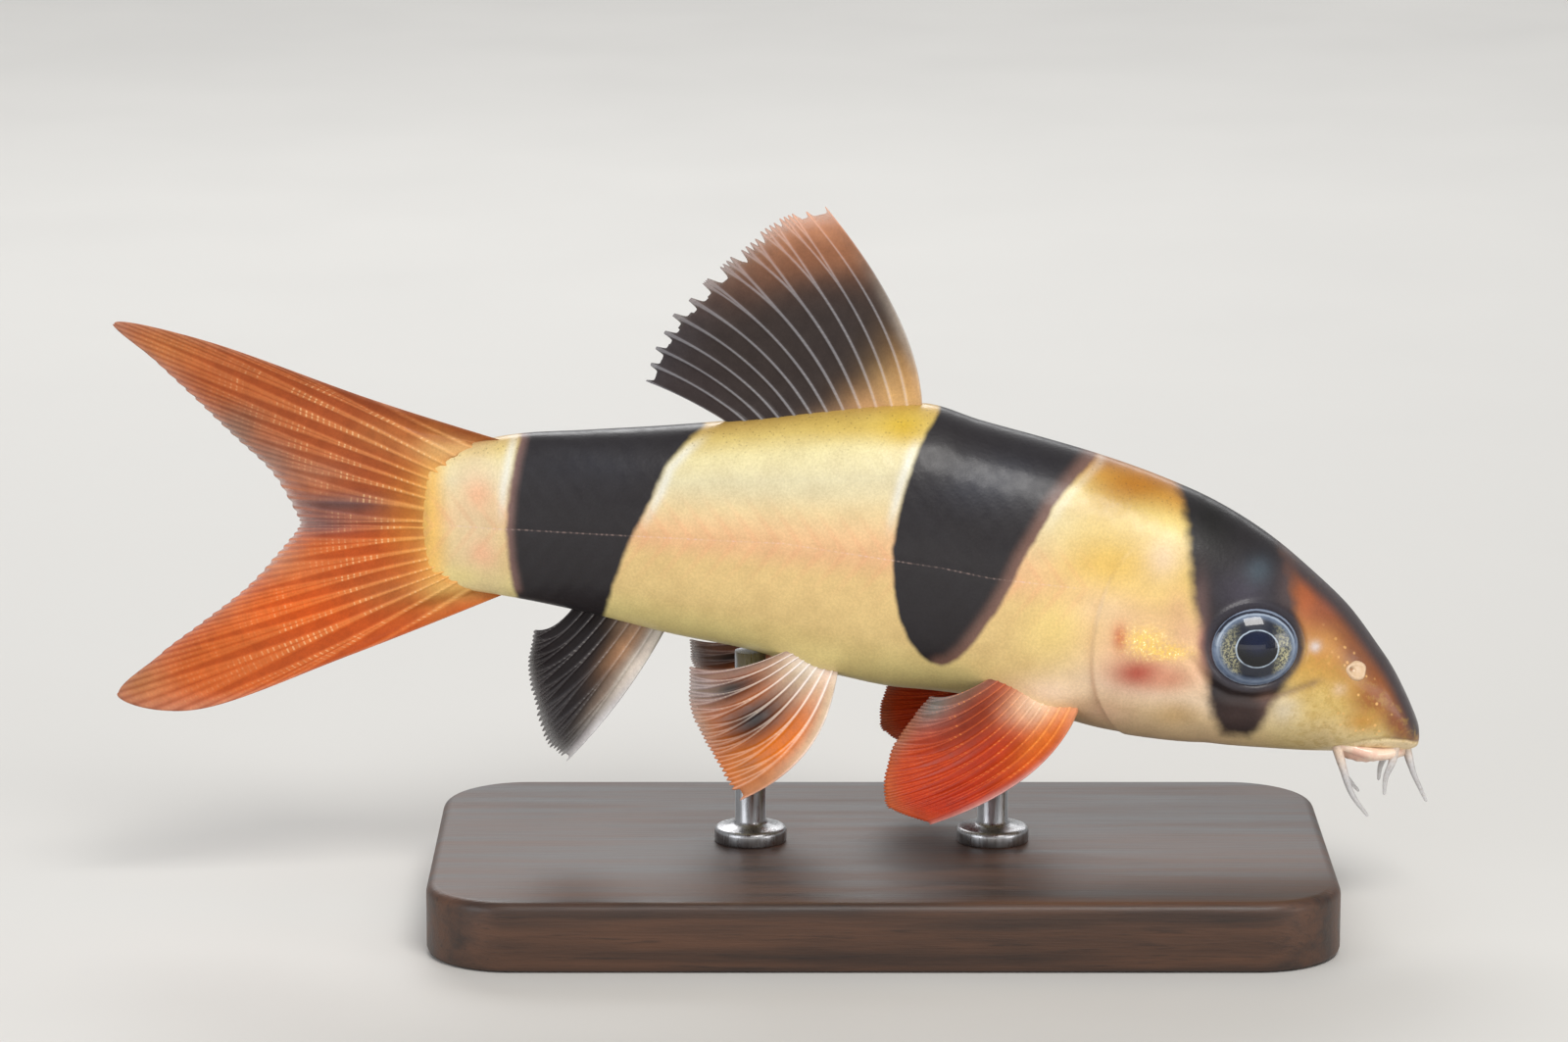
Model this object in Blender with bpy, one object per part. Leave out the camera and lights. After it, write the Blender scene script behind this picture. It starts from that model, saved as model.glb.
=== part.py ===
# Clown loach as a still, life-size model on a plain stand; sizes in metres, tables in millimetres
import math

import bpy
import bmesh
import numpy as np

MM = 0.001
GAP = 0.3 * MM
PARTING = 0.33 * MM
CUT_AT = -11.6 * MM
TAIL_END = -25.8 * MM
SEGMENTS = 40
HEAD_RINGS = 34
TORSO_RINGS = 15
TAIL_RINGS = 10

# Body sections from tail to snout: x, belly, back, half width, widest height, upper and lower power
STATIONS = [
    (-25.8, 19.1, 27.0, 1.25, 23.0, 2.3, 2.3),
    (-21.4, 18.5, 28.0, 2.10, 23.2, 2.3, 2.3),
    (-16.9, 17.6, 28.3, 2.90, 22.9, 2.2, 2.3),
    (-12.0, 16.4, 28.6, 3.60, 22.2, 2.1, 2.3),
    (-7.9, 15.6, 28.95, 4.15, 21.7, 2.0, 2.4),
    (-3.4, 14.3, 29.5, 4.60, 21.0, 2.0, 2.4),
    (0.5, 13.4, 29.85, 4.85, 20.4, 2.0, 2.4),
    (2.6, 13.2, 29.85, 4.95, 20.0, 2.0, 2.4),
    (5.6, 12.8, 28.9, 5.00, 19.3, 2.0, 2.4),
    (9.0, 12.0, 27.95, 5.00, 18.5, 2.0, 2.4),
    (12.4, 11.0, 26.95, 4.95, 17.6, 2.0, 2.4),
    (15.8, 10.45, 25.75, 4.80, 16.7, 2.0, 2.5),
    (19.2, 10.1, 24.25, 4.50, 15.9, 2.0, 2.5),
    (22.6, 9.85, 22.1, 4.00, 15.0, 1.95, 2.5),
    (24.8, 9.75, 20.25, 3.60, 14.2, 1.9, 2.5),
    (27.1, 9.75, 18.0, 3.05, 13.2, 1.9, 2.5),
    (28.3, 9.8, 16.4, 2.70, 12.6, 1.9, 2.4),
    (29.4, 9.9, 14.7, 2.25, 12.0, 2.0, 2.3),
    (30.1, 10.0, 13.3, 1.85, 11.6, 2.0, 2.2),
    (30.65, 10.2, 12.0, 1.30, 11.1, 2.0, 2.0),
    (31.0, 10.45, 11.15, 0.65, 10.8, 2.0, 2.0),
    (31.1, 10.7, 10.8, 0.0, 10.75, 2.0, 2.0),
]

# Rear edge of the gill cover: height angle on the section in degrees, and x
GILL_EDGE = [
    (-90, 15.6), (-60, 15.0), (-35, 13.7), (-12, 12.8), (8, 12.9),
    (25, 14.0), (42, 15.6), (60, 16.8), (90, 17.4),
]
GILL_LIFT = 0.32
GILL_REACH = 4.5
GILL_GROOVE = 0.15
GILL_GROOVE_HALF = 0.7
FOLD_HALF = 0.45

# Sideways swing of the whole fish: towards the viewer at the snout, away at the tail
HEAD_SWING = -1.2
HEAD_SWING_FROM = 5.0
HEAD_SWING_SPAN = 25.85
TAIL_SWING = 1.6
TAIL_SWING_FROM = -8.0
TAIL_SWING_SPAN = 36.0

EYE_CENTRE = (21.2, 2.95, 16.5)
EYE_RADII = (2.45, 1.55, 2.15)
EYE_TILT = math.radians(9)
EYE_RIM = 0.26
EYE_AROUND = 18
EYE_ALONG = 10
BELOW_EYE = [(18.3, 15.2), (19.6, 14.2), (21.3, 13.9), (23.0, 14.1), (25.2, 14.6)]
BELOW_EYE_DEPTH = 0.22

LIP_RADIUS = 0.42
UPPER_LIP = [(26.6, 2.0, 10.25), (28.3, 1.65, 10.1), (29.5, 0.85, 10.1), (29.85, 0.0, 10.1)]
LIP_LOBE = (27.7, 0.72, 9.62)
LIP_LOBE_RADII = (1.0, 0.62, 0.5)
MOUTH_LINE = [(26.7, 1.5, 9.75), (28.2, 1.25, 9.65), (29.0, 0.6, 9.6), (29.15, 0.0, 9.6)]
MOUTH_RADIUS = 0.2
NOSTRIL = (27.2, 2.62, 15.0)
NOSTRIL_RADII = (0.62, 0.42, 0.6)
NOSTRIL_PIT = (27.38, 3.05, 14.95)
NOSTRIL_PIT_RADII = (0.26, 0.34, 0.26)
NOSTRIL_FLAP = (26.95, 2.72, 15.45)
NOSTRIL_FLAP_RADII = (0.2, 0.42, 0.55)

FIN_HALF = 0.25
FIN_EDGE = 0.14
RIDGE = 0.13
RIDGE_FADE = 0.3
FORK_FADE = 0.85
FORK_ROOT = 0.12
FORK_SPREAD = 0.14
ROOT_REACH = 0.4
RAY_BLUNT = 0.05

STAND_TOP = 4.0
STAND_LENGTH = 52.0
STAND_WIDTH = 28.0
STAND_CORNER = 5.0
STAND_BEVEL = 0.6
ROD_RADIUS = 0.9
ROD_FOOT_RADIUS = 2.1
ROD_FOOT_HEIGHT = 0.9
ROD_FRONT_X = 6.5
ROD_REAR_X = -7.6

for old in list(bpy.data.objects):
    bpy.data.objects.remove(old, do_unlink=True)


# Smooth curve through a table of rows, at a given place between the first and last knot
def smooth(rows, knots, at):
    rows = np.asarray(rows, float)
    knots = np.asarray(knots, float)
    slopes = np.gradient(rows, knots, axis=0)
    at = min(max(at, knots[0]), knots[-1])
    low = min(int(np.searchsorted(knots, at, side="right")) - 1, len(knots) - 2)
    span = knots[low + 1] - knots[low]
    t = (at - knots[low]) / span
    near = (1 + 2 * t) * (1 - t) ** 2 * rows[low] + t * t * (3 - 2 * t) * rows[low + 1]
    bend = t * (1 - t) ** 2 * slopes[low] - t * t * (1 - t) * slopes[low + 1]
    return near + span * bend


def even(rows, at):
    return smooth(rows, np.linspace(0.0, 1.0, len(rows)), at)


# Dense table of sections, so that any x gives its own section
def dense_sections():
    rows = np.asarray(STATIONS, float)
    steps = np.linalg.norm(np.diff(rows[:, :4], axis=0), axis=1)
    knots = np.concatenate([[0.0], np.cumsum(steps)])
    return np.array([smooth(rows, knots, at) for at in np.linspace(0.0, knots[-1], 1500)])


SECTIONS = dense_sections()
SNOUT_X = STATIONS[-1][0]


def section(x):
    return [np.interp(x, SECTIONS[:, 0], SECTIONS[:, column]) for column in range(1, 7)]


# Point of the skin at one x and one angle, in millimetres; grow moves it outwards
def skin(x, angle, grow=0.0):
    belly, back, half, widest, upper, lower = section(x)
    c = math.cos(angle)
    s = math.sin(angle)
    power = 2.0 / (upper if s >= 0 else lower)
    reach = (back - widest if s >= 0 else widest - belly) + grow
    y = math.copysign(abs(c) ** power, c) * (half + grow)
    z = widest + math.copysign(abs(s) ** power, s) * reach
    return np.array([x, y, z])


def sway(x):
    if x > HEAD_SWING_FROM:
        return HEAD_SWING * ((x - HEAD_SWING_FROM) / HEAD_SWING_SPAN) ** 2
    if x < TAIL_SWING_FROM:
        return TAIL_SWING * ((TAIL_SWING_FROM - x) / TAIL_SWING_SPAN) ** 2
    return 0.0


# From millimetres on the straight fish to metres on the swung one
def place(point):
    x, y, z = point
    return (x * MM, (y + sway(x)) * MM, z * MM)


def paint(obj, colour, roughness=0.4):
    material = bpy.data.materials.new(obj.name)
    material.use_nodes = True
    shader = material.node_tree.nodes["Principled BSDF"]
    shader.inputs["Base Color"].default_value = (*colour, 1.0)
    shader.inputs["Roughness"].default_value = roughness
    obj.data.materials.append(material)


def make(name, points, faces, colour=None, rounded=True, swung=True):
    mesh = bpy.data.meshes.new(name)
    where = [place(p) for p in points] if swung else [tuple(np.asarray(p) * MM) for p in points]
    mesh.from_pydata(where, [], faces)
    work = bmesh.new()
    work.from_mesh(mesh)
    bmesh.ops.recalc_face_normals(work, faces=work.faces)
    for face in work.faces:
        face.smooth = rounded
    work.to_mesh(mesh)
    work.free()
    obj = bpy.data.objects.new(name, mesh)
    bpy.context.collection.objects.link(obj)
    if colour:
        paint(obj, colour)
    return obj


# One Boolean with each tool, applied, after which the tool is removed
def combine(obj, tools, operation):
    for tool in tools:
        modifier = obj.modifiers.new(operation, "BOOLEAN")
        modifier.operation = operation
        modifier.object = tool
        modifier.solver = "EXACT"
        bpy.context.view_layer.update()
        graph = bpy.context.evaluated_depsgraph_get()
        mesh = bpy.data.meshes.new_from_object(obj.evaluated_get(graph))
        obj.modifiers.clear()
        slots = list(obj.data.materials)
        obj.data = mesh
        obj.data.materials.clear()
        for slot in slots:
            obj.data.materials.append(slot)
        for polygon in obj.data.polygons:
            polygon.material_index = 0
    keep_largest(obj)


# Keeps only the largest closed surface of a node
def keep_largest(obj):
    work = bmesh.new()
    work.from_mesh(obj.data)
    bmesh.ops.remove_doubles(work, verts=work.verts, dist=0.002 * MM)
    left = set(work.faces)
    groups = []
    while left:
        queue = [left.pop()]
        group = list(queue)
        while queue:
            face = queue.pop()
            for edge in face.edges:
                for other in edge.link_faces:
                    if other in left:
                        left.remove(other)
                        queue.append(other)
                        group.append(other)
        groups.append(group)
    groups.sort(key=lambda g: sum(f.calc_area() for f in g), reverse=True)
    loose = [face for group in groups[1:] for face in group]
    bmesh.ops.delete(work, geom=loose, context="FACES")
    work.to_mesh(obj.data)
    work.free()


def drop(objects):
    for obj in objects:
        bpy.data.objects.remove(obj, do_unlink=True)


# Closed skin through rings of equal count, each end closed by a fan to its own centre point
def loft(name, rings, first, last, colour=None):
    count = len(rings[0])
    points = [p for ring in rings for p in ring] + [first, last]
    faces = []
    for i in range(len(rings) - 1):
        for j in range(count):
            k = (j + 1) % count
            faces.append((i * count + j, i * count + k, (i + 1) * count + k, (i + 1) * count + j))
    end = (len(rings) - 1) * count
    for j in range(count):
        k = (j + 1) % count
        faces.append((j, k, len(points) - 2))
        faces.append((end + j, end + k, len(points) - 1))
    return make(name, points, faces, colour)


ANGLES = [2 * math.pi * (j + 0.5) / SEGMENTS for j in range(SEGMENTS)]


def gill_edge(angle):
    height = math.degrees(math.asin(math.sin(angle)))
    knots = [row[0] for row in GILL_EDGE]
    return float(smooth([[row[1]] for row in GILL_EDGE], knots, height)[0])


def away_from_path(point, path):
    best = 1e9
    for a, b in zip(path[:-1], path[1:]):
        a = np.asarray(a, float)
        b = np.asarray(b, float)
        t = np.clip(np.dot(point - a, b - a) / np.dot(b - a, b - a), 0.0, 1.0)
        best = min(best, np.linalg.norm(point - a - t * (b - a)))
    return best


# Relief of the head: raised gill cover, rim round the eye and the fold below it
def head_grow(x, angle):
    _, y, z = skin(x, angle)
    side = abs(math.cos(angle)) ** 0.6
    from_edge = x - gill_edge(angle)
    low = 1.0 - min(max((math.sin(angle) - 0.35) / 0.4, 0.0), 1.0)
    cover = GILL_LIFT * math.exp(-(from_edge / GILL_REACH) ** 2)
    groove = GILL_GROOVE * math.exp(-((from_edge - GILL_REACH) / GILL_GROOVE_HALF) ** 2)
    rise = (cover - groove) * side * low
    round_eye = math.hypot((x - EYE_CENTRE[0]) / EYE_RADII[0], (z - EYE_CENTRE[2]) / EYE_RADII[2])
    rise += EYE_RIM * math.exp(-((round_eye - 1.1) / 0.13) ** 2)
    fold = away_from_path(np.array([x, z]), BELOW_EYE)
    return rise - BELOW_EYE_DEPTH * math.exp(-(fold / FOLD_HALF) ** 2) * min(1.0, abs(y) / 2.0)


def body_ring(x):
    return [skin(x, angle) for angle in ANGLES]


# Head: rings run from the gill cover's edge to the snout and crowd towards the blunt tip
head_rings = []
for i in range(HEAD_RINGS):
    forward = 1.0 - (1.0 - i / HEAD_RINGS) ** 1.6
    ring = []
    for angle in ANGLES:
        start = gill_edge(angle)
        x = start + (SNOUT_X - start) * forward
        ring.append(skin(x, angle, head_grow(x, angle)))
    head_rings.append(ring)
head = loft("head", head_rings, (15.0, 0, 18.0), (SNOUT_X, 0, STATIONS[-1][4]), (0.72, 0.47, 0.20))

# Torso: its front end lies one parting behind the gill cover's edge
torso_rings = []
part_mm = PARTING / MM
cut_mm = CUT_AT / MM
for i in range(TORSO_RINGS + 1):
    ring = []
    for angle in ANGLES:
        front = gill_edge(angle) - part_mm
        x = cut_mm + (front - cut_mm) * i / TORSO_RINGS
        ring.append(skin(x, angle))
    torso_rings.append(ring)
torso = loft("torso", torso_rings, (cut_mm, 0, 22), (15.0 - part_mm, 0, 18.0), (0.80, 0.66, 0.36))

# Tail: from the cut behind the dorsal fin to the root of the caudal fin
tail_rings = []
for i in range(TAIL_RINGS + 1):
    x = STATIONS[0][0] + (cut_mm - GAP / MM - STATIONS[0][0]) * i / TAIL_RINGS
    tail_rings.append(body_ring(x))
tail = loft("tail", tail_rings, (STATIONS[0][0], 0, 23), (cut_mm - GAP / MM, 0, 22), (0.75, 0.60, 0.42))


# The whole body one gap larger, which trims the root of each fin and feeler
def grown_body(name):
    grow = GAP / MM
    rings = []
    for x in np.linspace(STATIONS[0][0] - grow, 29.0, 48):
        rings.append([skin(x, angle, grow) for angle in ANGLES])
    for x in np.linspace(29.4, SNOUT_X + 0.05, 8):
        rings.append([skin(x, angle, grow) for angle in ANGLES])
    first = (STATIONS[0][0] - grow, 0, 23)
    last = (SNOUT_X + grow + 0.05, 0, STATIONS[-1][4])
    return loft(name, rings, first, last)


def ellipsoid(name, centre, radii, tilt=0.0, across=20, along=12, colour=None):
    points = []
    faces = []
    for i in range(1, along):
        polar = math.pi * i / along
        for j in range(across):
            turn = 2 * math.pi * j / across
            out = math.sin(polar)
            local = np.array([out * math.cos(turn), math.cos(polar), out * math.sin(turn)])
            x, y, z = local * np.asarray(radii)
            x, y = x * math.cos(tilt) - y * math.sin(tilt), x * math.sin(tilt) + y * math.cos(tilt)
            points.append(np.asarray(centre) + (x, y, z))
    for i in range(along - 2):
        for j in range(across):
            k = (j + 1) % across
            faces.append((i * across + j, i * across + k, (i + 1) * across + k, (i + 1) * across + j))
    for pole, ring in ((1.0, 0), (-1.0, along - 2)):
        x, y = -pole * radii[1] * math.sin(tilt), pole * radii[1] * math.cos(tilt)
        points.append(np.asarray(centre) + (x, y, 0.0))
        for j in range(across):
            k = (j + 1) % across
            faces.append((ring * across + j, ring * across + k, len(points) - 1))
    return make(name, points, faces, colour)


# Eyes in sockets one gap wider; the head narrows forwards, so each eye looks a little ahead
def eye(name, side, grow=0.0, colour=None):
    centre = (EYE_CENTRE[0], EYE_CENTRE[1] * side, EYE_CENTRE[2])
    radii = [r + grow for r in EYE_RADII]
    return ellipsoid(name, centre, radii, -EYE_TILT * side, EYE_AROUND, EYE_ALONG, colour)


# Round tube along a smooth path, its radius running from one end to the other
def tube(name, path, start, end, around, along, colour=None, beside=(0.0, 1.0, 0.0)):
    points = []
    faces = []
    centres = [even(path, i / along) for i in range(along + 1)]
    for i, centre in enumerate(centres):
        ahead = centres[min(i + 1, along)] - centres[max(i - 1, 0)]
        ahead = ahead / np.linalg.norm(ahead)
        first = np.cross(ahead, beside)
        first = first / np.linalg.norm(first)
        second = np.cross(ahead, first)
        radius = start + (end - start) * i / along
        for j in range(around):
            turn = 2 * math.pi * j / around
            points.append(centre + radius * (math.cos(turn) * first + math.sin(turn) * second))
    for i in range(along):
        for j in range(around):
            k = (j + 1) % around
            faces.append((i * around + j, i * around + k, (i + 1) * around + k, (i + 1) * around + j))
    faces.append(tuple(range(around)))
    faces.append(tuple(along * around + j for j in range(around)))
    return make(name, points, faces, colour)


UP = (0.0, 0.0, 1.0)


def whole_arch(half_path):
    return half_path + [(x, -y, z) for x, y, z in reversed(half_path[:-1])]


def lip(name, radius):
    return tube(name, whole_arch(UPPER_LIP), radius, radius, 8, 14, None, UP)


def on_side(point, side):
    return (point[0], point[1] * side, point[2])


# Lips and nostrils are joined to the head, then sockets, mouth line and nostril pits are cut
joined = [lip("upper_lip", LIP_RADIUS)]
cut = [tube("mouth_line", whole_arch(MOUTH_LINE), MOUTH_RADIUS, MOUTH_RADIUS, 6, 12, None, UP)]
for side in (1, -1):
    joined.append(ellipsoid("lip_lobe", on_side(LIP_LOBE, side), LIP_LOBE_RADII, 0.0, 10, 6))
    joined.append(ellipsoid("nostril", on_side(NOSTRIL, side), NOSTRIL_RADII, 0.0, 10, 6))
    joined.append(ellipsoid("nostril_flap", on_side(NOSTRIL_FLAP, side), NOSTRIL_FLAP_RADII, 0.0, 8, 6))
    cut.append(ellipsoid("nostril_pit", on_side(NOSTRIL_PIT, side), NOSTRIL_PIT_RADII, 0.0, 8, 5))
    cut.append(eye("socket", side, GAP / MM))
combine(head, joined, "UNION")
combine(head, cut, "DIFFERENCE")
drop(joined + cut)
for side, name in ((1, "eye_left"), (-1, "eye_right")):
    eye(name, side, 0.0, (0.02, 0.03, 0.05))


BODY_CUTTER = grown_body("body_cutter")
LIP_CUTTER = lip("lip_cutter", LIP_RADIUS + GAP / MM)


# Fin from rays: each runs from the root row through the middle row to the tip row,
# as one ridge that forks in two, with a valley of plain membrane on either side
def fin(name, root, middle, tip, rays, rows, root_half, colour):
    columns = []
    for k in range(rays):
        columns.append((k / rays, 0, True))
        columns += [((k + 0.5) / rays, branch, False) for branch in (-1, 0, 1)]
    columns.append((1.0, 0, True))

    def sheet(u, v):
        a, b, c = even(root, u), even(middle, u), even(tip, u)
        return a * (1 - v) * (1 - 2 * v) + b * 4 * v * (1 - v) + c * v * (2 * v - 1)

    front = []
    back = []
    for i in range(rows + 1):
        v = i / rows
        for u, branch, valley in columns:
            u = u + branch * (FORK_ROOT + FORK_SPREAD * v) / rays
            at = v * (1.0 - RAY_BLUNT) if valley else v
            middle_point = sheet(u, at)
            du = sheet(min(u + 0.01, 1.0), at) - sheet(max(u - 0.01, 0.0), at)
            dv = sheet(u, min(at + 0.01, 1.0)) - sheet(u, max(at - 0.01, 0.0))
            normal = np.cross(du, dv)
            normal = normal / np.linalg.norm(normal)
            half = FIN_HALF + (root_half - FIN_HALF) * max(0.0, 1.0 - v / ROOT_REACH) ** 2
            if i == rows:
                half = FIN_EDGE
            elif not valley:
                half += RIDGE * (1.0 - (RIDGE_FADE if branch else FORK_FADE) * v)
            front.append(middle_point + normal * half)
            back.append(middle_point - normal * half)
    count = len(columns)
    other = len(front)
    faces = []
    for i in range(rows):
        for j in range(count - 1):
            a, b, c, d = i * count + j, i * count + j + 1, (i + 1) * count + j + 1, (i + 1) * count + j
            faces += [(a, b, c), (a, c, d)]
            faces += [(other + c, other + b, other + a), (other + d, other + c, other + a)]
    rim = [j for j in range(count)]
    rim += [i * count + count - 1 for i in range(1, rows + 1)]
    rim += [rows * count + j for j in range(count - 2, -1, -1)]
    rim += [i * count for i in range(rows - 1, 0, -1)]
    for a, b in zip(rim, rim[1:] + rim[:1]):
        faces += [(a, other + b, b), (a, other + a, other + b)]
    obj = make(name, front + back, faces, colour)
    combine(obj, [BODY_CUTTER], "DIFFERENCE")
    return obj


def flat(rows):
    return [(x, 0.0, z) for x, z in rows]


def mirrored(rows, side):
    return [(x, -y * side, z) for x, y, z in rows]


fin("dorsal_fin",
    flat([(2.3, 28.9), (-0.1, 28.8), (-2.8, 28.7), (-5.4, 28.4), (-7.9, 28.1)]),
    flat([(1.0, 34.4), (-2.3, 34.6), (-5.5, 33.6), (-8.4, 31.9), (-10.7, 29.9)]),
    flat([(-3.5, 41.4), (-6.6, 40.1), (-10.2, 37.1), (-12.6, 34.1), (-13.6, 31.1)]),
    10, 7, 0.55, (0.16, 0.11, 0.09))

fin("caudal_fin_upper",
    flat([(-25.2, 22.95), (-25.2, 23.6), (-25.2, 24.2), (-25.2, 24.8), (-25.1, 25.4), (-25.0, 26.0),
          (-24.7, 26.7), (-23.4, 27.3), (-21.2, 27.6)]),
    flat([(-29.5, 22.95), (-30.2, 24.5), (-31.3, 25.9), (-32.4, 27.3), (-33.5, 28.8), (-34.6, 30.5),
          (-31.5, 30.1), (-26.7, 28.6), (-21.9, 28.1)]),
    flat([(-33.8, 22.95), (-35.2, 25.5), (-37.4, 27.7), (-39.6, 29.9), (-41.9, 32.2), (-44.1, 34.4),
          (-38.5, 33.3), (-30.0, 30.1), (-22.6, 28.8)]),
    10, 6, 0.75, (0.72, 0.22, 0.08))

fin("caudal_fin_lower",
    flat([(-25.2, 22.55), (-25.2, 22.0), (-25.2, 21.4), (-25.2, 20.8), (-25.1, 20.3), (-25.0, 19.9),
          (-24.6, 19.6), (-23.2, 19.4), (-21.2, 19.2)]),
    flat([(-29.5, 22.45), (-30.1, 21.4), (-31.1, 20.1), (-32.3, 18.8), (-33.5, 17.4), (-34.6, 15.8),
          (-32.0, 15.4), (-27.0, 17.1), (-21.9, 18.6)]),
    flat([(-33.8, 22.35), (-35.0, 20.8), (-37.0, 18.7), (-39.4, 16.8), (-42.0, 14.8), (-44.4, 12.3),
          (-39.5, 11.7), (-31.0, 14.9), (-22.6, 18.0)]),
    10, 6, 0.75, (0.74, 0.20, 0.07))

fin("anal_fin",
    flat([(-12.3, 17.0), (-13.6, 17.4), (-14.9, 17.8), (-16.2, 18.2), (-17.4, 18.5)]),
    flat([(-14.6, 12.5), (-15.9, 13.4), (-17.0, 14.5), (-18.0, 15.6), (-18.7, 16.8)]),
    flat([(-18.3, 8.7), (-19.4, 9.9), (-20.2, 12.1), (-20.5, 14.5), (-20.1, 16.6)]),
    8, 6, 0.5, (0.12, 0.10, 0.11))

for side, name in ((1, "pelvic_fin_left"), (-1, "pelvic_fin_right")):
    fin(name,
        mirrored([(-2.6, -1.7, 15.0), (-3.3, -1.9, 15.5), (-4.0, -2.1, 15.9), (-4.7, -2.3, 16.3)], side),
        mirrored([(-4.1, -5.1, 10.9), (-6.3, -4.9, 12.1), (-7.8, -4.2, 13.6), (-8.3, -3.4, 15.1)], side),
        mirrored([(-8.2, -7.6, 8.3), (-9.8, -6.4, 10.8), (-11.0, -5.0, 13.1), (-11.2, -3.9, 15.3)], side),
        8, 5, 0.55, (0.75, 0.42, 0.20))

for side, name in ((1, "pectoral_fin_left"), (-1, "pectoral_fin_right")):
    fin(name,
        mirrored([(10.9, -2.1, 13.6), (9.5, -2.3, 13.9), (8.2, -2.5, 14.3), (7.0, -2.8, 14.9)], side),
        mirrored([(8.0, -6.9, 9.9), (5.9, -6.7, 10.5), (4.3, -6.2, 11.8), (4.4, -5.0, 14.0)], side),
        mirrored([(2.6, -9.6, 7.4), (0.2, -9.1, 8.5), (0.5, -7.5, 11.4), (2.6, -5.8, 14.0)], side),
        10, 6, 0.9, (0.75, 0.16, 0.05))

# Feelers: two pairs at the snout's lower edge and one pair at the corners of the mouth
BARBELS = {
    "barbel_rostral_inner": [(30.2, -0.45, 10.5), (30.5, -0.6, 9.4), (30.8, -0.85, 8.4), (31.5, -1.1, 6.9)],
    "barbel_rostral_outer": [(29.7, -1.05, 10.5), (29.5, -1.3, 9.4), (29.1, -1.5, 8.4), (29.0, -1.7, 7.4)],
    "barbel_maxillary": [(26.2, -1.9, 10.4), (26.6, -2.1, 9.0), (27.1, -2.5, 7.6), (28.0, -2.9, 6.4)],
}
for stem, path in BARBELS.items():
    for side, ending in ((1, "_left"), (-1, "_right")):
        feeler = tube(stem + ending, mirrored(path, side), 0.33, 0.14, 8, 9, (0.75, 0.68, 0.58))
        combine(feeler, [BODY_CUTTER, LIP_CUTTER], "DIFFERENCE")

drop([BODY_CUTTER, LIP_CUTTER])


# Stand: a flat base with rounded corners, and two rods that end one gap under the belly
def outline(length, width, corner, steps=6):
    points = []
    for cx, cy, start in ((1, 1, 0), (-1, 1, 90), (-1, -1, 180), (1, -1, 270)):
        for i in range(steps + 1):
            turn = math.radians(start + 90 * i / steps)
            x = cx * (length / 2 - corner) + corner * math.cos(turn)
            y = cy * (width / 2 - corner) + corner * math.sin(turn)
            points.append((x, y))
    return points


def stack(name, levels, colour, rounded):
    count = len(levels[0][1])
    points = [(x, y, z) for z, ring in levels for x, y in ring]
    faces = [tuple(range(count)), tuple((len(levels) - 1) * count + j for j in range(count))]
    for i in range(len(levels) - 1):
        for j in range(count):
            k = (j + 1) % count
            faces.append((i * count + j, i * count + k, (i + 1) * count + k, (i + 1) * count + j))
    return make(name, points, faces, colour, rounded, swung=False)


full = outline(STAND_LENGTH, STAND_WIDTH, STAND_CORNER)
eased = outline(STAND_LENGTH - 2 * STAND_BEVEL, STAND_WIDTH - 2 * STAND_BEVEL, STAND_CORNER - STAND_BEVEL)
levels = [(0.0, full), (STAND_TOP - STAND_BEVEL, full), (STAND_TOP, eased)]
stack("stand_base", levels, (0.10, 0.06, 0.04), False)

for name, x in (("stand_rod_front", ROD_FRONT_X), ("stand_rod_rear", ROD_REAR_X)):
    middle = sway(x)
    foot = STAND_TOP + GAP / MM

    def circle(radius):
        turns = [2 * math.pi * j / 24 for j in range(24)]
        return [(x + radius * math.cos(t), middle + radius * math.sin(t)) for t in turns]

    top = min(skin(x + step * ROD_RADIUS, -math.pi / 2)[2] for step in (-1, 0, 1)) - GAP / MM
    levels = [(foot, circle(ROD_FOOT_RADIUS)), (foot + ROD_FOOT_HEIGHT * 0.6, circle(ROD_FOOT_RADIUS))]
    levels += [(foot + ROD_FOOT_HEIGHT, circle(ROD_RADIUS)), (top, circle(ROD_RADIUS))]
    stack(name, levels, (0.45, 0.45, 0.46), True)
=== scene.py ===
# %% [markdown]
# This lesson dresses a still, life-size model of a young clown loach in the pose of a photograph.
# The solids are only the frame: they give the sizes, and here each of them gets its real surface.
# Loading them first means that every later piece can be measured against its own solid.

import math

import bmesh
import bpy
import numpy as np
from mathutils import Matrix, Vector


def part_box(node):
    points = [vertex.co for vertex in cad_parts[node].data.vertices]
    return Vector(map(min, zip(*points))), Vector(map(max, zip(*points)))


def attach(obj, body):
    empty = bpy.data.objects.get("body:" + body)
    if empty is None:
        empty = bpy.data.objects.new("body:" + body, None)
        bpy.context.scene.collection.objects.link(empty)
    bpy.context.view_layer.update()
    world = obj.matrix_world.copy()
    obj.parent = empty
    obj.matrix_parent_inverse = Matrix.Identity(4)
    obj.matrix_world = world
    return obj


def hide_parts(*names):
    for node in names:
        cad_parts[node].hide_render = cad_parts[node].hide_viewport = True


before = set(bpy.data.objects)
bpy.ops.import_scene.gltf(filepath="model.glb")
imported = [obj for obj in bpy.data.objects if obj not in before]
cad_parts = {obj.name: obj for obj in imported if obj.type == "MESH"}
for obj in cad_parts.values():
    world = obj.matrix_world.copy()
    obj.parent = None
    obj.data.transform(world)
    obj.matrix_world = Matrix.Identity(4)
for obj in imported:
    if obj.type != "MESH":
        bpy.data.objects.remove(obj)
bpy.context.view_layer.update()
MM = 0.001

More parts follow.
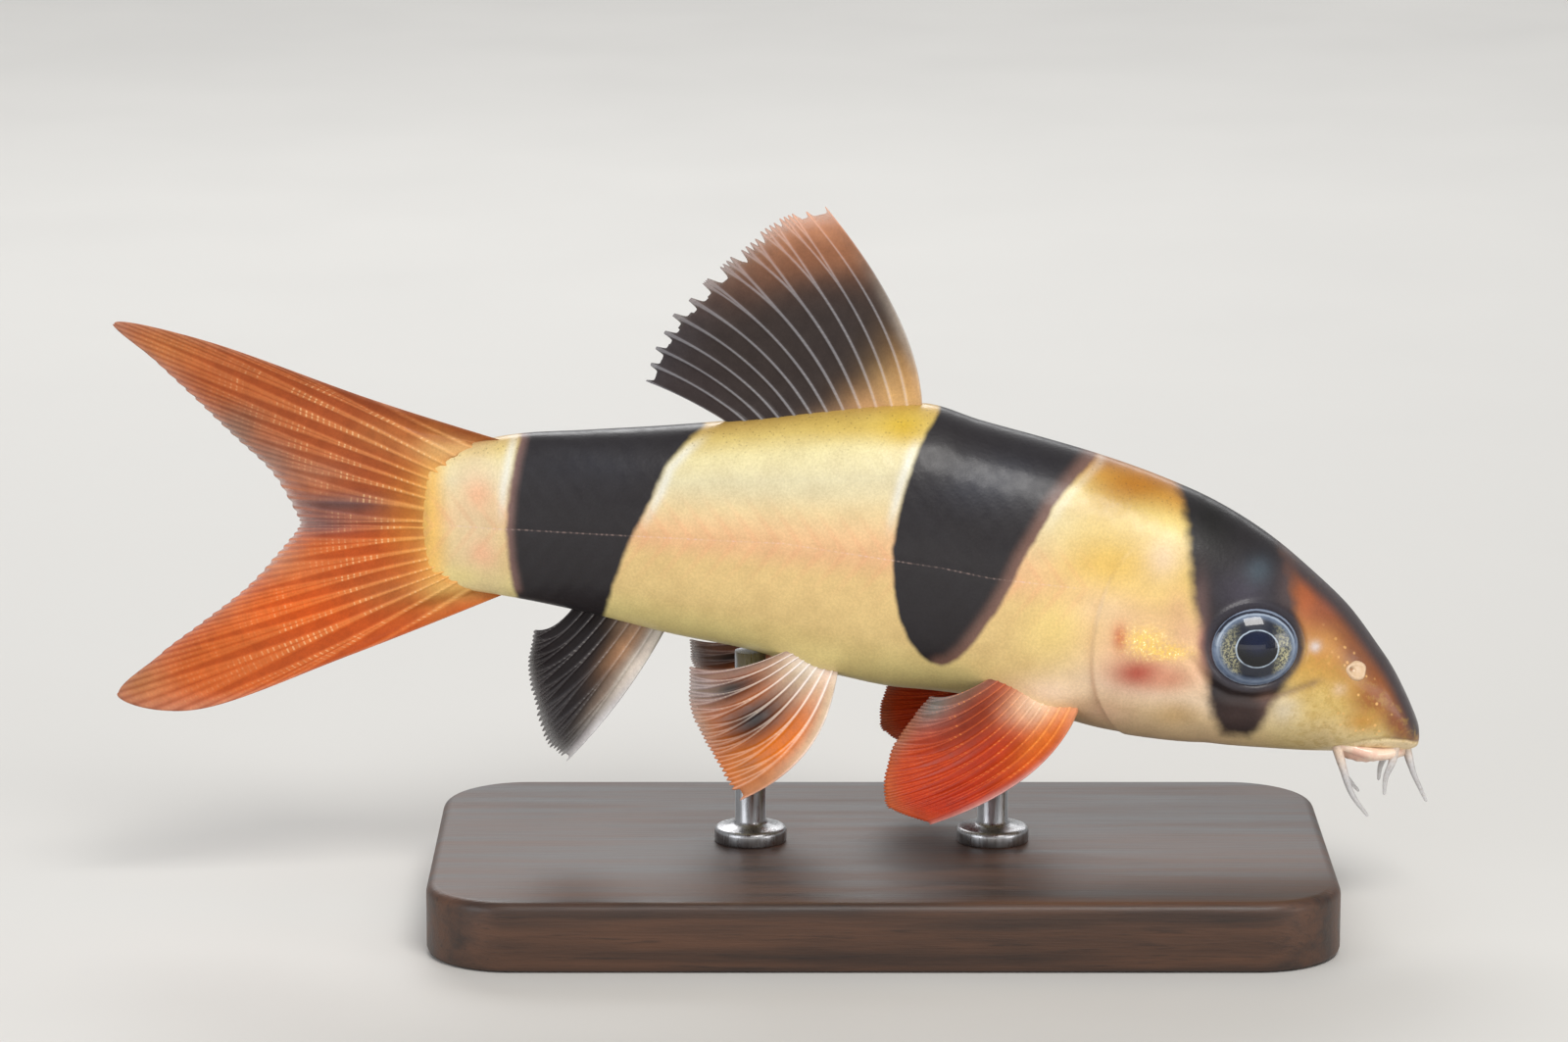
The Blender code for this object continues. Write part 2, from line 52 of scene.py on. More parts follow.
# %% [markdown]
# The trunk of a fish is a loft: oval sections, each with its own belly, back, width and widest height.
# A sculpted mesh could look alike, but sections can be measured on a photograph and corrected one by one.
# The two powers say how full an oval is: 2 is an ellipse, and a higher power is a rounder box.

# %% The body's sections, in millimetres
# x, belly, back, half width, widest height, upper and lower power
STATIONS = [
    (-25.8, 19.1, 27.0, 1.25, 23.0, 2.3, 2.3),
    (-21.4, 18.5, 28.0, 2.10, 23.2, 2.3, 2.3),
    (-16.9, 17.6, 28.3, 2.90, 22.9, 2.2, 2.3),
    (-12.0, 16.4, 28.6, 3.60, 22.2, 2.1, 2.3),
    (-7.9, 15.6, 28.95, 4.15, 21.7, 2.0, 2.4),
    (-3.4, 14.3, 29.5, 4.60, 21.0, 2.0, 2.4),
    (0.5, 13.4, 29.85, 4.85, 20.4, 2.0, 2.4),
    (2.6, 13.2, 29.85, 4.95, 20.0, 2.0, 2.4),
    (5.6, 12.8, 28.9, 5.00, 19.3, 2.0, 2.4),
    (9.0, 12.0, 27.95, 5.00, 18.5, 2.0, 2.4),
    (12.4, 11.0, 26.95, 4.95, 17.6, 2.0, 2.4),
    (15.8, 10.45, 25.75, 4.80, 16.7, 2.0, 2.5),
    (19.2, 10.1, 24.25, 4.50, 15.9, 2.0, 2.5),
    (22.6, 9.85, 22.1, 4.00, 15.0, 1.95, 2.5),
    (24.8, 9.75, 20.25, 3.60, 14.2, 1.9, 2.5),
    (27.1, 9.75, 18.0, 3.05, 13.2, 1.9, 2.5),
    (28.3, 9.8, 16.4, 2.70, 12.6, 1.9, 2.4),
    (29.4, 9.8, 14.8, 2.30, 12.0, 2.0, 2.3),
    (30.1, 9.8, 13.5, 1.95, 11.5, 2.0, 2.2),
    (30.65, 9.85, 12.3, 1.50, 11.0, 2.0, 2.1),
    (31.0, 10.05, 11.4, 0.90, 10.7, 2.0, 2.0),
    (31.1, 10.55, 10.85, 0.0, 10.7, 2.0, 2.0),
]
TAIL_X = STATIONS[0][0]
SNOUT_X = STATIONS[-1][0]
SNOUT_Z = STATIONS[-1][4]
print("stations", len(STATIONS), "from x", TAIL_X, "to", SNOUT_X)

# %% [markdown]
# Between the stations a smooth curve gives the section at any place. The same few curve helpers shape the
# whole fish: a smooth table, an eased step from 0 to 1, and a rounded hill that fades with distance.

# %% Curves
SECTION_COUNT = 1500


def smooth(rows, knots, at):
    """A smooth curve through the rows, one row at each knot, for an array of places."""
    rows = np.asarray(rows, float)
    knots = np.asarray(knots, float)
    slopes = np.gradient(rows, knots, axis=0)
    at = np.clip(np.atleast_1d(np.asarray(at, float)), knots[0], knots[-1])
    low = np.clip(np.searchsorted(knots, at, side="right") - 1, 0, len(knots) - 2)
    span = (knots[low + 1] - knots[low])[:, None]
    t = (at[:, None] - knots[low][:, None]) / span
    near = (1 + 2 * t) * (1 - t) ** 2 * rows[low] + t * t * (3 - 2 * t) * rows[low + 1]
    bend = t * (1 - t) ** 2 * slopes[low] - t * t * (1 - t) * slopes[low + 1]
    return near + span * bend


def even(rows, at):
    """The same curve with its knots spread evenly from 0 to 1."""
    return smooth(rows, np.linspace(0.0, 1.0, len(rows)), at)


def step(low, high, value):
    """0 below low, 1 above high, and an eased step between."""
    t = np.clip((value - low) / (high - low), 0.0, 1.0)
    return t * t * (3 - 2 * t)


def hill(distance, half):
    """1 at no distance, falling away like a rounded hill."""
    return np.exp(-((distance / half) ** 2))


def spot(a, b, centre_a, centre_b, radius_a, radius_b):
    """1 in the middle of an oval spot, falling away all round."""
    return hill(np.hypot((a - centre_a) / radius_a, (b - centre_b) / radius_b), 1.0)


def above(path, x, z):
    """How far points lie above a line that is drawn from point to point in the side view."""
    return z - np.interp(x, *np.array(path).T)


stations = np.asarray(STATIONS, float)
station_steps = np.linalg.norm(np.diff(stations[:, :4], axis=0), axis=1)
station_knots = np.concatenate([[0.0], np.cumsum(station_steps)])
SECTIONS = smooth(stations, station_knots, np.linspace(0.0, station_knots[-1], SECTION_COUNT))
print("sections", len(SECTIONS))

# %% [markdown]
# The fish in the photograph isn't straight. Its head turns a little to the viewer and its tail swings away.
# Bending a finished mesh with an armature would do, but a sideways shift that grows along x keeps the side
# view exactly as measured, and the same shift can be given to fins, eyes and feelers.

# %% From a straight fish to the swung one
HEAD_SWING, HEAD_SWINGS_FROM, HEAD_REACH = -1.2, 5.0, 25.85
TAIL_SWING, TAIL_SWINGS_FROM, TAIL_REACH = 1.6, -8.0, 36.0


def sway(x):
    """The sideways shift of the swung fish at x."""
    x = np.asarray(x, float)
    ahead = HEAD_SWING * (np.clip(x - HEAD_SWINGS_FROM, 0, None) / HEAD_REACH) ** 2
    behind = TAIL_SWING * (np.clip(TAIL_SWINGS_FROM - x, 0, None) / TAIL_REACH) ** 2
    return ahead + behind


def place(points):
    """Millimetres on the straight fish to metres on the swung one."""
    points = np.array(points, float)
    points[..., 1] += sway(points[..., 0])
    return points * MM


def section_at(x):
    """Belly, back, half width, widest height and the two powers at x."""
    return [np.interp(x, SECTIONS[:, 0], SECTIONS[:, column]) for column in range(1, 7)]


def skin_at(x, angle, grow=0.0):
    """Points of the skin for arrays of x and angle; grow moves them outwards."""
    belly, back, half, widest, upper, lower = section_at(x)
    c, s = np.cos(angle), np.sin(angle)
    power = 2.0 / np.where(s >= 0, upper, lower)
    reach = np.where(s >= 0, back - widest, widest - belly) + grow
    y = np.sign(c) * np.abs(c) ** power * (half + grow)
    z = widest + np.sign(s) * np.abs(s) ** power * reach
    return x + 0.0 * angle, y, z


print("the snout lies", round(float(sway(SNOUT_X)), 2), "mm to the viewer's side")

# %% [markdown]
# Every surface here is a grid of points, so one helper makes them all. It also stores named numbers on the
# points, such as the distance to a dark band. Materials read these, so a marking stays where it is put on
# the fish from every side, which an image laid over one view can't do.

# %% Meshes from grids
def mesh_from(name, points, faces, numbers=None, colours=None):
    mesh = bpy.data.meshes.new(name)
    mesh.from_pydata(place(points).reshape(-1, 3).tolist(), [], faces)
    mesh.update()
    work = bmesh.new()
    work.from_mesh(mesh)
    bmesh.ops.recalc_face_normals(work, faces=work.faces)
    for face in work.faces:
        face.smooth = True
    work.to_mesh(mesh)
    work.free()
    for key, values in (numbers or {}).items():
        layer = mesh.attributes.new(key, "FLOAT", "POINT")
        layer.data.foreach_set("value", np.asarray(values, np.float32).ravel())
    for key, values in (colours or {}).items():
        layer = mesh.attributes.new(key, "FLOAT_COLOR", "POINT")
        values = np.asarray(values, np.float32).reshape(-1, 3)
        layer.data.foreach_set("color", np.hstack([values, np.ones((len(values), 1), np.float32)]).ravel())
    obj = bpy.data.objects.new(name, mesh)
    bpy.context.scene.collection.objects.link(obj)
    return obj


def ring_faces(rings, around, ends="open"):
    """Quads between closed rings; flat ends close them, and poles are two more points after the rings."""
    index = np.arange(rings * around).reshape(rings, around)
    turned = np.roll(index, -1, axis=1)
    faces = np.stack([index[:-1], turned[:-1], turned[1:], index[1:]], axis=-1).reshape(-1, 4).tolist()
    if ends == "flat":
        faces += [index[0].tolist(), index[-1].tolist()]
    if ends == "poles":
        for row, pole in ((0, rings * around), (-1, rings * around + 1)):
            faces += [(a, b, pole) for a, b in zip(index[row].tolist(), turned[row].tolist())]
    return faces


print("two rings of four points are joined by", len(ring_faces(2, 4)), "faces")

# %% [markdown]
# Markings are outlines in the side view, in millimetres. A marking's edge can then be sharp or soft at will,
# because each point of the mesh knows how far it lies from the outline. Colours are written as the eye reads
# them, from 0 to 255, and turned into the numbers that light uses.

# %% Distances and colours
FAR = 1e9


def srgb(*colour):
    """A colour as the eye reads it, 0 to 255, as the numbers that light uses."""
    c = np.asarray(colour, float) / 255.0
    return np.where(c <= 0.04045, c / 12.92, ((c + 0.055) / 1.055) ** 2.4)


def path_distance(px, pz, path):
    """Distance of points from a path in the side view."""
    best = np.full(px.shape, FAR)
    for (ax, az), (bx, bz) in zip(path[:-1], path[1:]):
        dx, dz = bx - ax, bz - az
        t = np.clip(((px - ax) * dx + (pz - az) * dz) / (dx * dx + dz * dz), 0, 1)
        best = np.minimum(best, np.hypot(px - ax - t * dx, pz - az - t * dz))
    return best


def area_depth(px, pz, outline):
    """How deep points lie inside an outline in the side view; below 0 outside it."""
    closed = list(outline) + [outline[0]]
    inside = np.zeros(px.shape, bool)
    for (ax, az), (bx, bz) in zip(closed[:-1], closed[1:]):
        crosses = (az > pz) != (bz > pz)
        inside ^= crosses & (px < (bx - ax) * (pz - az) / (bz - az + 1e-12) + ax)
    return np.where(inside, 1.0, -1.0) * path_distance(px, pz, closed)


def lay(paint, amount, colour):
    """Lays one colour over the paint, by an amount for each point."""
    amount = np.asarray(amount)[..., None]
    return paint * (1 - amount) + srgb(*colour) * amount


def dabbed(paint, a, b, dabs):
    """Lays soft dabs over the paint: name, place, radii, colour and strength."""
    for _, place_a, place_b, radius_a, radius_b, colour, strength in dabs:
        paint = lay(paint, strength * spot(a, b, place_a, place_b, radius_a, radius_b), colour)
    return paint


def flat(colour, like):
    """One colour for every point."""
    return np.broadcast_to(srgb(*colour), like.shape + (3,))


print("middle grey is", np.round(srgb(128, 128, 128), 3), "in the numbers of light")

# %% [markdown]
# A material is a small network of nodes. Writing each node out takes ten lines, so this step makes short
# words for the few that a fish needs: a stored number, noise, an eased ramp, a blend and simple arithmetic.
# A word that gets a plain number writes it on the node's own socket instead of adding a node for it.

# %% Short words for material nodes
class Finish:
    """One material and the words that build its nodes."""

    def __init__(self, name, **sockets):
        self.material = bpy.data.materials.new(name)
        self.material.use_nodes = True
        self.tree = self.material.node_tree
        self.shader = self.tree.nodes["Principled BSDF"]
        self.wear(**sockets)

    def wear(self, **sockets):
        """Sets the shader's own sockets, with an underscore for each space in a name."""
        for key, value in sockets.items():
            self.put(self.shader.inputs[key.replace("_", " ")], value)

    def put(self, socket, value):
        if isinstance(value, bpy.types.NodeSocket):
            self.tree.links.new(value, socket)
        elif socket.type == "RGBA":
            socket.default_value = (*value[:3], 1.0)
        else:
            socket.default_value = value

    def stored(self, key, colour=False):
        """A number or a colour that the mesh keeps on its points."""
        node = self.tree.nodes.new("ShaderNodeAttribute")
        node.attribute_name = key
        return node.outputs["Color" if colour else "Fac"]

    def noise(self, size_mm, detail=3.0, rough=0.55, stretch=(1.0, 1.0, 1.0)):
        """Noise whose blots are about size_mm across on the object."""
        where = self.tree.nodes.new("ShaderNodeTexCoord")
        mapping = self.tree.nodes.new("ShaderNodeMapping")
        mapping.inputs["Scale"].default_value = stretch
        self.put(mapping.inputs["Vector"], where.outputs["Object"])
        node = self.tree.nodes.new("ShaderNodeTexNoise")
        node.inputs["Scale"].default_value = 1.0 / (size_mm * MM)
        node.inputs["Detail"].default_value = detail
        node.inputs["Roughness"].default_value = rough
        self.put(node.inputs["Vector"], mapping.outputs["Vector"])
        return node.outputs["Fac"]

    def cells(self, size_mm):
        """The distance from the middle of the nearest grain, for grains about size_mm apart."""
        where = self.tree.nodes.new("ShaderNodeTexCoord")
        node = self.tree.nodes.new("ShaderNodeTexVoronoi")
        node.inputs["Scale"].default_value = 1.0 / (size_mm * MM)
        self.put(node.inputs["Vector"], where.outputs["Object"])
        return node.outputs["Distance"]

    def sums(self, operation, a, b=0.0):
        node = self.tree.nodes.new("ShaderNodeMath")
        node.operation = operation
        self.put(node.inputs[0], a)
        self.put(node.inputs[1], b)
        return node.outputs[0]

    def times(self, value, *others):
        for other in others:
            value = self.sums("MULTIPLY", value, other)
        return value

    def wave(self, value, pitch):
        """A sine wave along a value, one wave for each pitch."""
        return self.sums("SINE", self.times(value, 2 * math.pi / pitch))

    def eased(self, value, low, high, start=0.0, end=1.0):
        """An eased ramp from start to end while the value goes from low to high."""
        node = self.tree.nodes.new("ShaderNodeMapRange")
        node.interpolation_type = "SMOOTHSTEP"
        keys = ("Value", "From Min", "From Max", "To Min", "To Max")
        for key, number in zip(keys, (value, low, high, start, end)):
            self.put(node.inputs[key], number)
        return node.outputs[0]

    def near(self, value, inner, outer, strength=1.0, rest=0.0, centre=None):
        """Strength where the value is close to its centre, easing to rest further off."""
        offset = value if centre is None else self.sums("SUBTRACT", value, centre)
        return self.eased(self.sums("ABSOLUTE", offset), inner, outer, strength, rest)

    def blend(self, share, a, b, way="MIX"):
        node = self.tree.nodes.new("ShaderNodeMix")
        node.data_type = "RGBA"
        node.blend_type = way
        self.put(node.inputs[0], share)
        self.put(node.inputs[6], a)
        self.put(node.inputs[7], b)
        return node.outputs[2]

    def toned(self, colour, value, low, high, dark, light, share=1.0):
        """Multiplies a colour by a tint that a value turns from dark to light."""
        return self.blend(share, colour, self.blend(self.eased(value, low, high), dark, light), "MULTIPLY")

    def bumps(self, *layers):
        """Stacks bump layers, each a height and its real depth in millimetres."""
        normal = None
        for height, depth in layers:
            node = self.tree.nodes.new("ShaderNodeBump")
            node.inputs["Distance"].default_value = depth * MM
            self.put(node.inputs["Height"], height)
            if normal is not None:
                self.put(node.inputs["Normal"], normal)
            normal = node.outputs["Normal"]
        self.put(self.shader.inputs["Normal"], normal)


print("words for materials:", ", ".join(word for word in vars(Finish) if not word.startswith("_")))

# %% [markdown]
# The gill cover is a thin bony plate that lies over the front of the trunk. Its rear edge stands proud and
# throws a fine shadow. The rings of the skin are warped to follow that edge, so the step falls exactly
# between two rings and stays crisp, where a cut or a sculpted groove would need far more points.

# %% The gill cover and the eye's place
# Height angle on the section in degrees, and x of the gill cover's rear edge
GILL_EDGE = [
    (-90, 14.7), (-74, 14.1), (-50, 13.0), (-25, 12.1), (0, 12.1),
    (25, 13.4), (45, 15.4), (68, 16.9), (90, 17.3),
]
COVER_RISE, COVER_DIP = 0.22, 0.05
EYE = (21.2, 3.8, 16.55)
EYE_RADII = (2.6, 1.0, 2.25)
ORBIT_DEPTH, ORBIT_RIM = 0.75, 0.13
BELOW_EYE = [
    (17.6, 15.9), (18.5, 14.5), (19.8, 13.75), (21.3, 13.55), (23.0, 13.8), (25.2, 14.6), (26.2, 14.5),
]
FOLD_DEPTH, FOLD_SWELL = 0.12, 0.05


def gill_edge(angle):
    """Where the gill cover ends, for an array of angles round the section."""
    degrees = np.degrees(np.arcsin(np.sin(angle)))
    knots = [row[0] for row in GILL_EDGE]
    return smooth([[row[1]] for row in GILL_EDGE], knots, degrees.ravel())[:, 0].reshape(angle.shape)


def cover_relief(x, angle, side):
    """The cover stands proud, and behind its edge the trunk dips and rises over the shoulder."""
    low = 1.0 - step(0.05, 0.62, np.sin(angle))
    behind = gill_edge(angle) - x
    cover = COVER_RISE * hill(behind, 4.5) - 0.1 * hill(behind + 4.6, 0.8)
    dip = -COVER_DIP * np.exp(-np.clip(behind, 0, None) / 0.5)
    return np.where(behind <= 0.02, cover, dip) * side * low


def orbit(x, z):
    """Distance from the middle of the eye in the side view, 1 at its rim."""
    return np.hypot((x - EYE[0]) / EYE_RADII[0], (z - EYE[2]) / EYE_RADII[2])


def eye_relief(x, y, z):
    """A shallow orbit with a soft raised rim, and the fold of skin below it."""
    around = orbit(x, z)
    hollow = -ORBIT_DEPTH * (1.0 - step(0.72, 1.0, around)) + ORBIT_RIM * hill(around - 1.1, 0.08)
    fold = path_distance(x, z, BELOW_EYE)
    fades = np.minimum(1.0, np.abs(y) / 2.0) * (1.0 - step(23.4, 25.8, x))
    return hollow + (-FOLD_DEPTH * hill(fold, 0.22) + FOLD_SWELL * hill(fold - 0.5, 0.35)) * fades


print("the gill cover reaches back to x", round(float(gill_edge(np.array([0.0]))[0]), 1), "mm")

# %% [markdown]
# The flank isn't smooth either. Muscle blocks lie under the skin in shallow chevrons, the lateral line is a
# fine groove, and the fins grow from low swellings. The blocks and the groove are at most a few hundredths
# of a millimetre high, the swellings up to half a millimetre. All of it could be bump alone, but real
# relief also catches the light at the outline.

# %% Relief of the whole skin
LATERAL_LINE = [
    (-25.4, 22.8), (-20.8, 22.9), (-14.6, 22.8), (-5.7, 22.6), (-0.1, 21.8),
    (3.3, 21.3), (6.1, 20.7), (11.1, 20.1), (14.0, 20.0),
]
LINE_DEPTH = 0.03
MUSCLE_PITCH, MUSCLE_SLANT, MUSCLE_RISE = 1.25, 0.75, 0.009
# The arch of skin that hangs over the mouth
LIP_ARCH = [(25.4, 10.1), (26.6, 10.4), (27.8, 10.75), (29.0, 10.85), (30.2, 10.7), (31.2, 10.3)]
LIP_DEPTH = 0.07
# What it is, x, z, radius along x, radius along z, height, clear distance from the keel
LUMPS = [
    ("base of the pectoral fin", 9.3, 13.2, 1.6, 1.0, 0.45, 0.5),
    ("base of the pelvic fin", -3.9, 15.2, 1.5, 0.9, 0.28, 0.0),
    ("cheek", 24.6, 12.0, 1.6, 1.3, 0.12, 0.0),
    ("hollow before the nostrils", 27.9, 15.0, 0.9, 0.9, -0.10, 0.0),
]


def flank_relief(x, z, side):
    """Muscle blocks in shallow chevrons, and the groove of the lateral line."""
    height = above(LATERAL_LINE, x, z)
    chevron = x + np.abs(height) * MUSCLE_SLANT
    flank = step(-24, -20, x) * (1.0 - step(10.5, 12.5, x)) * side * hill(height, 5.5)
    blocks = MUSCLE_RISE * np.sin(chevron * 2 * math.pi / MUSCLE_PITCH) * flank
    groove = -LINE_DEPTH * hill(height, 0.14) * step(-25, -22, x) * (1.0 - step(12, 13, x)) * side
    return blocks + groove


def relief(x, angle):
    """Outward relief of the skin in millimetres."""
    _, y, z = skin_at(x, angle)
    side = np.abs(np.cos(angle)) ** 0.6
    grow = cover_relief(x, angle, side) + eye_relief(x, y, z) + flank_relief(x, z, side)
    for _, lump_x, lump_z, radius_x, radius_z, height, clear in LUMPS:
        grow += height * spot(x, z, lump_x, lump_z, radius_x, radius_z) * (np.abs(y) >= clear)
    return grow - LIP_DEPTH * hill(above(LIP_ARCH, x, z), 0.1) * step(25.4, 26.6, x)


print("lumps", len(LUMPS), "muscle blocks every", MUSCLE_PITCH, "mm")

# %% [markdown]
# The colours of the living skin change slowly: gold along the back, peach on the flank, cream on the belly,
# orange on the snout. Each stretch of the fish has its own scale of colours from the belly to the back, and
# one scale eases into the next. They could be brushed on by hand, but a scale can be corrected by a number.

# %% Scales of colour
# Share of the height, 0 at the belly and 1 at the back, and the colour there
# The two lowest rows are partly painted light: lighter than the belly's own cream, to brighten its shaded
# lower edge.
TRUNK_PAINT = [
    (0.0, (240, 226, 156)), (0.1, (232, 214, 146)), (0.22, (222, 194, 132)), (0.42, (220, 188, 128)),
    (0.5, (222, 176, 128)), (0.57, (226, 184, 136)), (0.66, (222, 198, 150)), (0.78, (214, 204, 166)),
    (0.88, (222, 210, 158)), (0.95, (212, 188, 112)), (1.0, (186, 150, 78)),
]
NAPE_PAINT = [
    (0.0, (230, 202, 160)), (0.14, (228, 200, 158)), (0.22, (238, 212, 182)), (0.36, (238, 198, 156)),
    (0.5, (226, 186, 136)), (0.6, (226, 192, 122)), (0.7, (220, 188, 108)), (0.8, (224, 198, 132)),
    (0.88, (226, 200, 116)), (0.95, (204, 152, 66)), (1.0, (160, 106, 54)),
]
HEAD_PAINT = [
    (0.0, (222, 200, 146)), (0.16, (222, 200, 144)), (0.34, (208, 178, 104)), (0.5, (198, 152, 68)),
    (0.66, (184, 124, 48)), (0.8, (160, 92, 42)), (0.92, (112, 68, 48)), (1.0, (84, 60, 54)),
]
NAPE_FROM, NAPE_TO = 8.0, 13.0
HEAD_FROM, HEAD_TO = 18.5, 23.5


def by_height(paint, share):
    knots = [row[0] for row in paint]
    colours = np.array([srgb(*row[1]) for row in paint])
    return np.stack([np.interp(share, knots, colours[:, channel]) for channel in range(3)], axis=-1)


def base_paint(x, share):
    """The scale of the trunk, which eases into the nape's and then into the head's."""
    to_nape = step(NAPE_FROM, NAPE_TO, x)[..., None]
    to_head = step(HEAD_FROM, HEAD_TO, x)[..., None]
    paint = by_height(TRUNK_PAINT, share) * (1 - to_nape) + by_height(NAPE_PAINT, share) * to_nape
    return paint * (1 - to_head) + by_height(HEAD_PAINT, share) * to_head


print("scales of", len(TRUNK_PAINT), len(NAPE_PAINT), len(HEAD_PAINT), "colours")

# %% [markdown]
# On top of the scales come soft dabs, as a model painter lays them with an airbrush: each has a name, a
# place and a size in millimetres. The mesh keeps the finished colour on its points, and the sharper bands,
# the speckle and the gloss come later from the material's own nodes.

# %% Dabs of paint
# What it is, x, z, radius along x, radius along z, colour, strength
DABS = [
    ("pale peduncle", -23.4, 22.9, 1.9, 6.0, (228, 204, 162), 0.9),
    ("pink above its middle", -23.2, 24.8, 0.8, 0.9, (238, 182, 142), 0.85),
    ("pink below its middle", -23.0, 21.3, 0.8, 0.9, (236, 180, 142), 0.85),
    ("yellow lower peduncle", -24.2, 19.8, 1.6, 0.8, (222, 204, 132), 0.6),
    ("golden back by the dorsal fin", -1.0, 28.9, 4.2, 0.6, (208, 178, 84), 0.75),
    ("golden corner at the dorsal fin", 1.2, 28.9, 1.3, 0.9, (212, 176, 44), 0.85),
    ("grey tinge of the upper flank", -5.0, 25.6, 6.5, 0.6, (206, 196, 160), 0.5),
    ("mustard nape", 13.3, 24.7, 2.3, 1.0, (178, 142, 44), 0.8),
    ("golden nape", 14.6, 25.6, 2.2, 0.8, (176, 112, 14), 0.9),
    ("cream patch behind the eye band", 15.9, 21.7, 1.1, 1.1, (232, 206, 172), 0.9),
    ("gold on the upper cover", 12.6, 21.4, 2.2, 0.9, (224, 184, 92), 0.75),
    ("yellow at the front flank", 10.0, 17.8, 2.0, 2.4, (238, 212, 128), 0.65),
    ("pink skin above the gill cover", 12.6, 18.9, 1.4, 0.9, (236, 208, 166), 0.5),
    ("pale root of the pectoral fin", 9.6, 13.9, 2.6, 1.1, (248, 220, 190), 0.9),
    ("throat", 12.6, 12.6, 1.8, 1.0, (232, 190, 158), 0.7),
    ("pink blotch of the cover", 14.6, 15.2, 1.8, 1.05, (176, 78, 60), 1.0),
    ("pink cheek", 16.4, 14.8, 1.3, 0.7, (208, 138, 108), 0.75),
    ("red streak at the cover's edge", 13.5, 17.3, 0.45, 0.8, (196, 90, 62), 0.85),
    ("brown-pink upper cheek", 16.8, 18.9, 0.7, 1.2, (212, 168, 122), 0.7),
    ("cheek before the cover", 17.2, 17.4, 0.5, 0.9, (218, 172, 136), 0.6),
    ("red skin at the eye's rear edge", 18.3, 16.8, 0.45, 1.6, (172, 112, 104), 0.9),
    ("tan jaw corner", 16.8, 12.6, 1.3, 0.8, (206, 168, 112), 0.6),
    ("orange brow", 24.3, 19.2, 0.7, 1.3, (172, 90, 46), 0.8),
    ("dark orange under the ridge", 25.6, 18.6, 0.8, 1.2, (148, 78, 52), 0.7),
    ("gold between eye and nostril", 25.3, 16.4, 0.9, 1.0, (190, 134, 62), 0.8),
    ("light cheek under the fold", 23.0, 12.9, 1.0, 1.0, (216, 202, 176), 0.85),
    ("yellow cheek", 25.2, 13.4, 1.0, 1.0, (206, 178, 110), 0.7),
    ("cream jaw", 25.6, 11.4, 1.8, 0.8, (214, 190, 138), 0.7),
    # Painted shade: brown under and about the nostril's raised rim.
    ("brown painted shade round the nostril", 27.3, 15.6, 0.9, 0.8, (128, 78, 48), 0.7),
    ("pale spot before the eye", 24.75, 16.5, 0.32, 0.3, (206, 196, 196), 0.9),
    ("pale spot under the nostril", 26.2, 14.0, 0.42, 0.36, (222, 190, 152), 0.9),
    ("orange side of the snout", 28.2, 13.4, 1.3, 1.2, (140, 72, 6), 0.95),
    ("gold above the lip", 27.6, 12.0, 1.0, 0.6, (196, 138, 48), 0.8),
    ("snout above the lip", 29.7, 12.0, 0.8, 0.9, (132, 68, 30), 0.9),
]
SNOUT_RIDGE = [(x, float(section_at(x)[1])) for x in np.linspace(21.5, 31.0, 24)]
# The tail's flesh takes the colour of the fin that it sinks under
TAIL_GOLD = (234, 186, 98)


def painted_shade_round_the_eye(paint, x, z):
    """Painted shade: a dark ring in the eye's socket, the upper lid's shadow crescent, and a faint line
    along the fold that leaves the eye forwards.
    """
    around = orbit(x, z)
    over = step(-0.5, 0.7, (z - EYE[2]) / EYE_RADII[2])
    # Painted shade in the ring where the eye sinks into its socket.
    paint = lay(paint, 0.9 * hill(around - 1.02, 0.10), (52, 48, 56))
    # Painted shadow of the upper lid, a dark crescent over the eye.
    paint = lay(paint, 0.7 * over * hill(around - 1.1, 0.09), (44, 42, 52))
    # Painted shade in the fold that runs forwards under the eye.
    fold = path_distance(x, z, BELOW_EYE[2:])
    return lay(paint, 0.6 * hill(fold, 0.2) * step(20.5, 22.5, x) * (1 - step(24.6, 25.6, x)), (112, 82, 66))


def lip_fold(x, z):
    """1 under the arch of pale skin that hangs over the mouth."""
    return (1 - step(-0.12, 0.12, above(LIP_ARCH, x, z))) * step(25.2, 26.4, x)


def skin_paint(x, z, share):
    ridge = path_distance(x, z, SNOUT_RIDGE)
    paint = base_paint(x, share)
    paint = lay(paint, 0.85 * (1 - step(1.0, 2.3, ridge)) * step(23.2, 24.6, x), (126, 70, 38))
    paint = dabbed(paint, x, z, DABS)
    paint = lay(paint, 0.95 * (1 - step(0.3, 1.05, ridge)) * step(22.4, 24.2, x), (56, 50, 54))
    paint = lay(paint, step(24.7, 26.1, -x), TAIL_GOLD)
    paint = lay(paint, 0.9 * lip_fold(x, z), (238, 216, 172))
    # The painted shade round the eye goes over the pale skin.
    return painted_shade_round_the_eye(paint, x, z)


print("dabs of paint:", len(DABS))

# %% [markdown]
# Three dark bands give this loach its look: one through the eye, one before the dorsal fin and one that runs
# on to the anal fin. Each is an outline in the side view. The mesh stores how deep every point lies inside
# them, and the material turns that depth into a soft, slightly ragged edge.

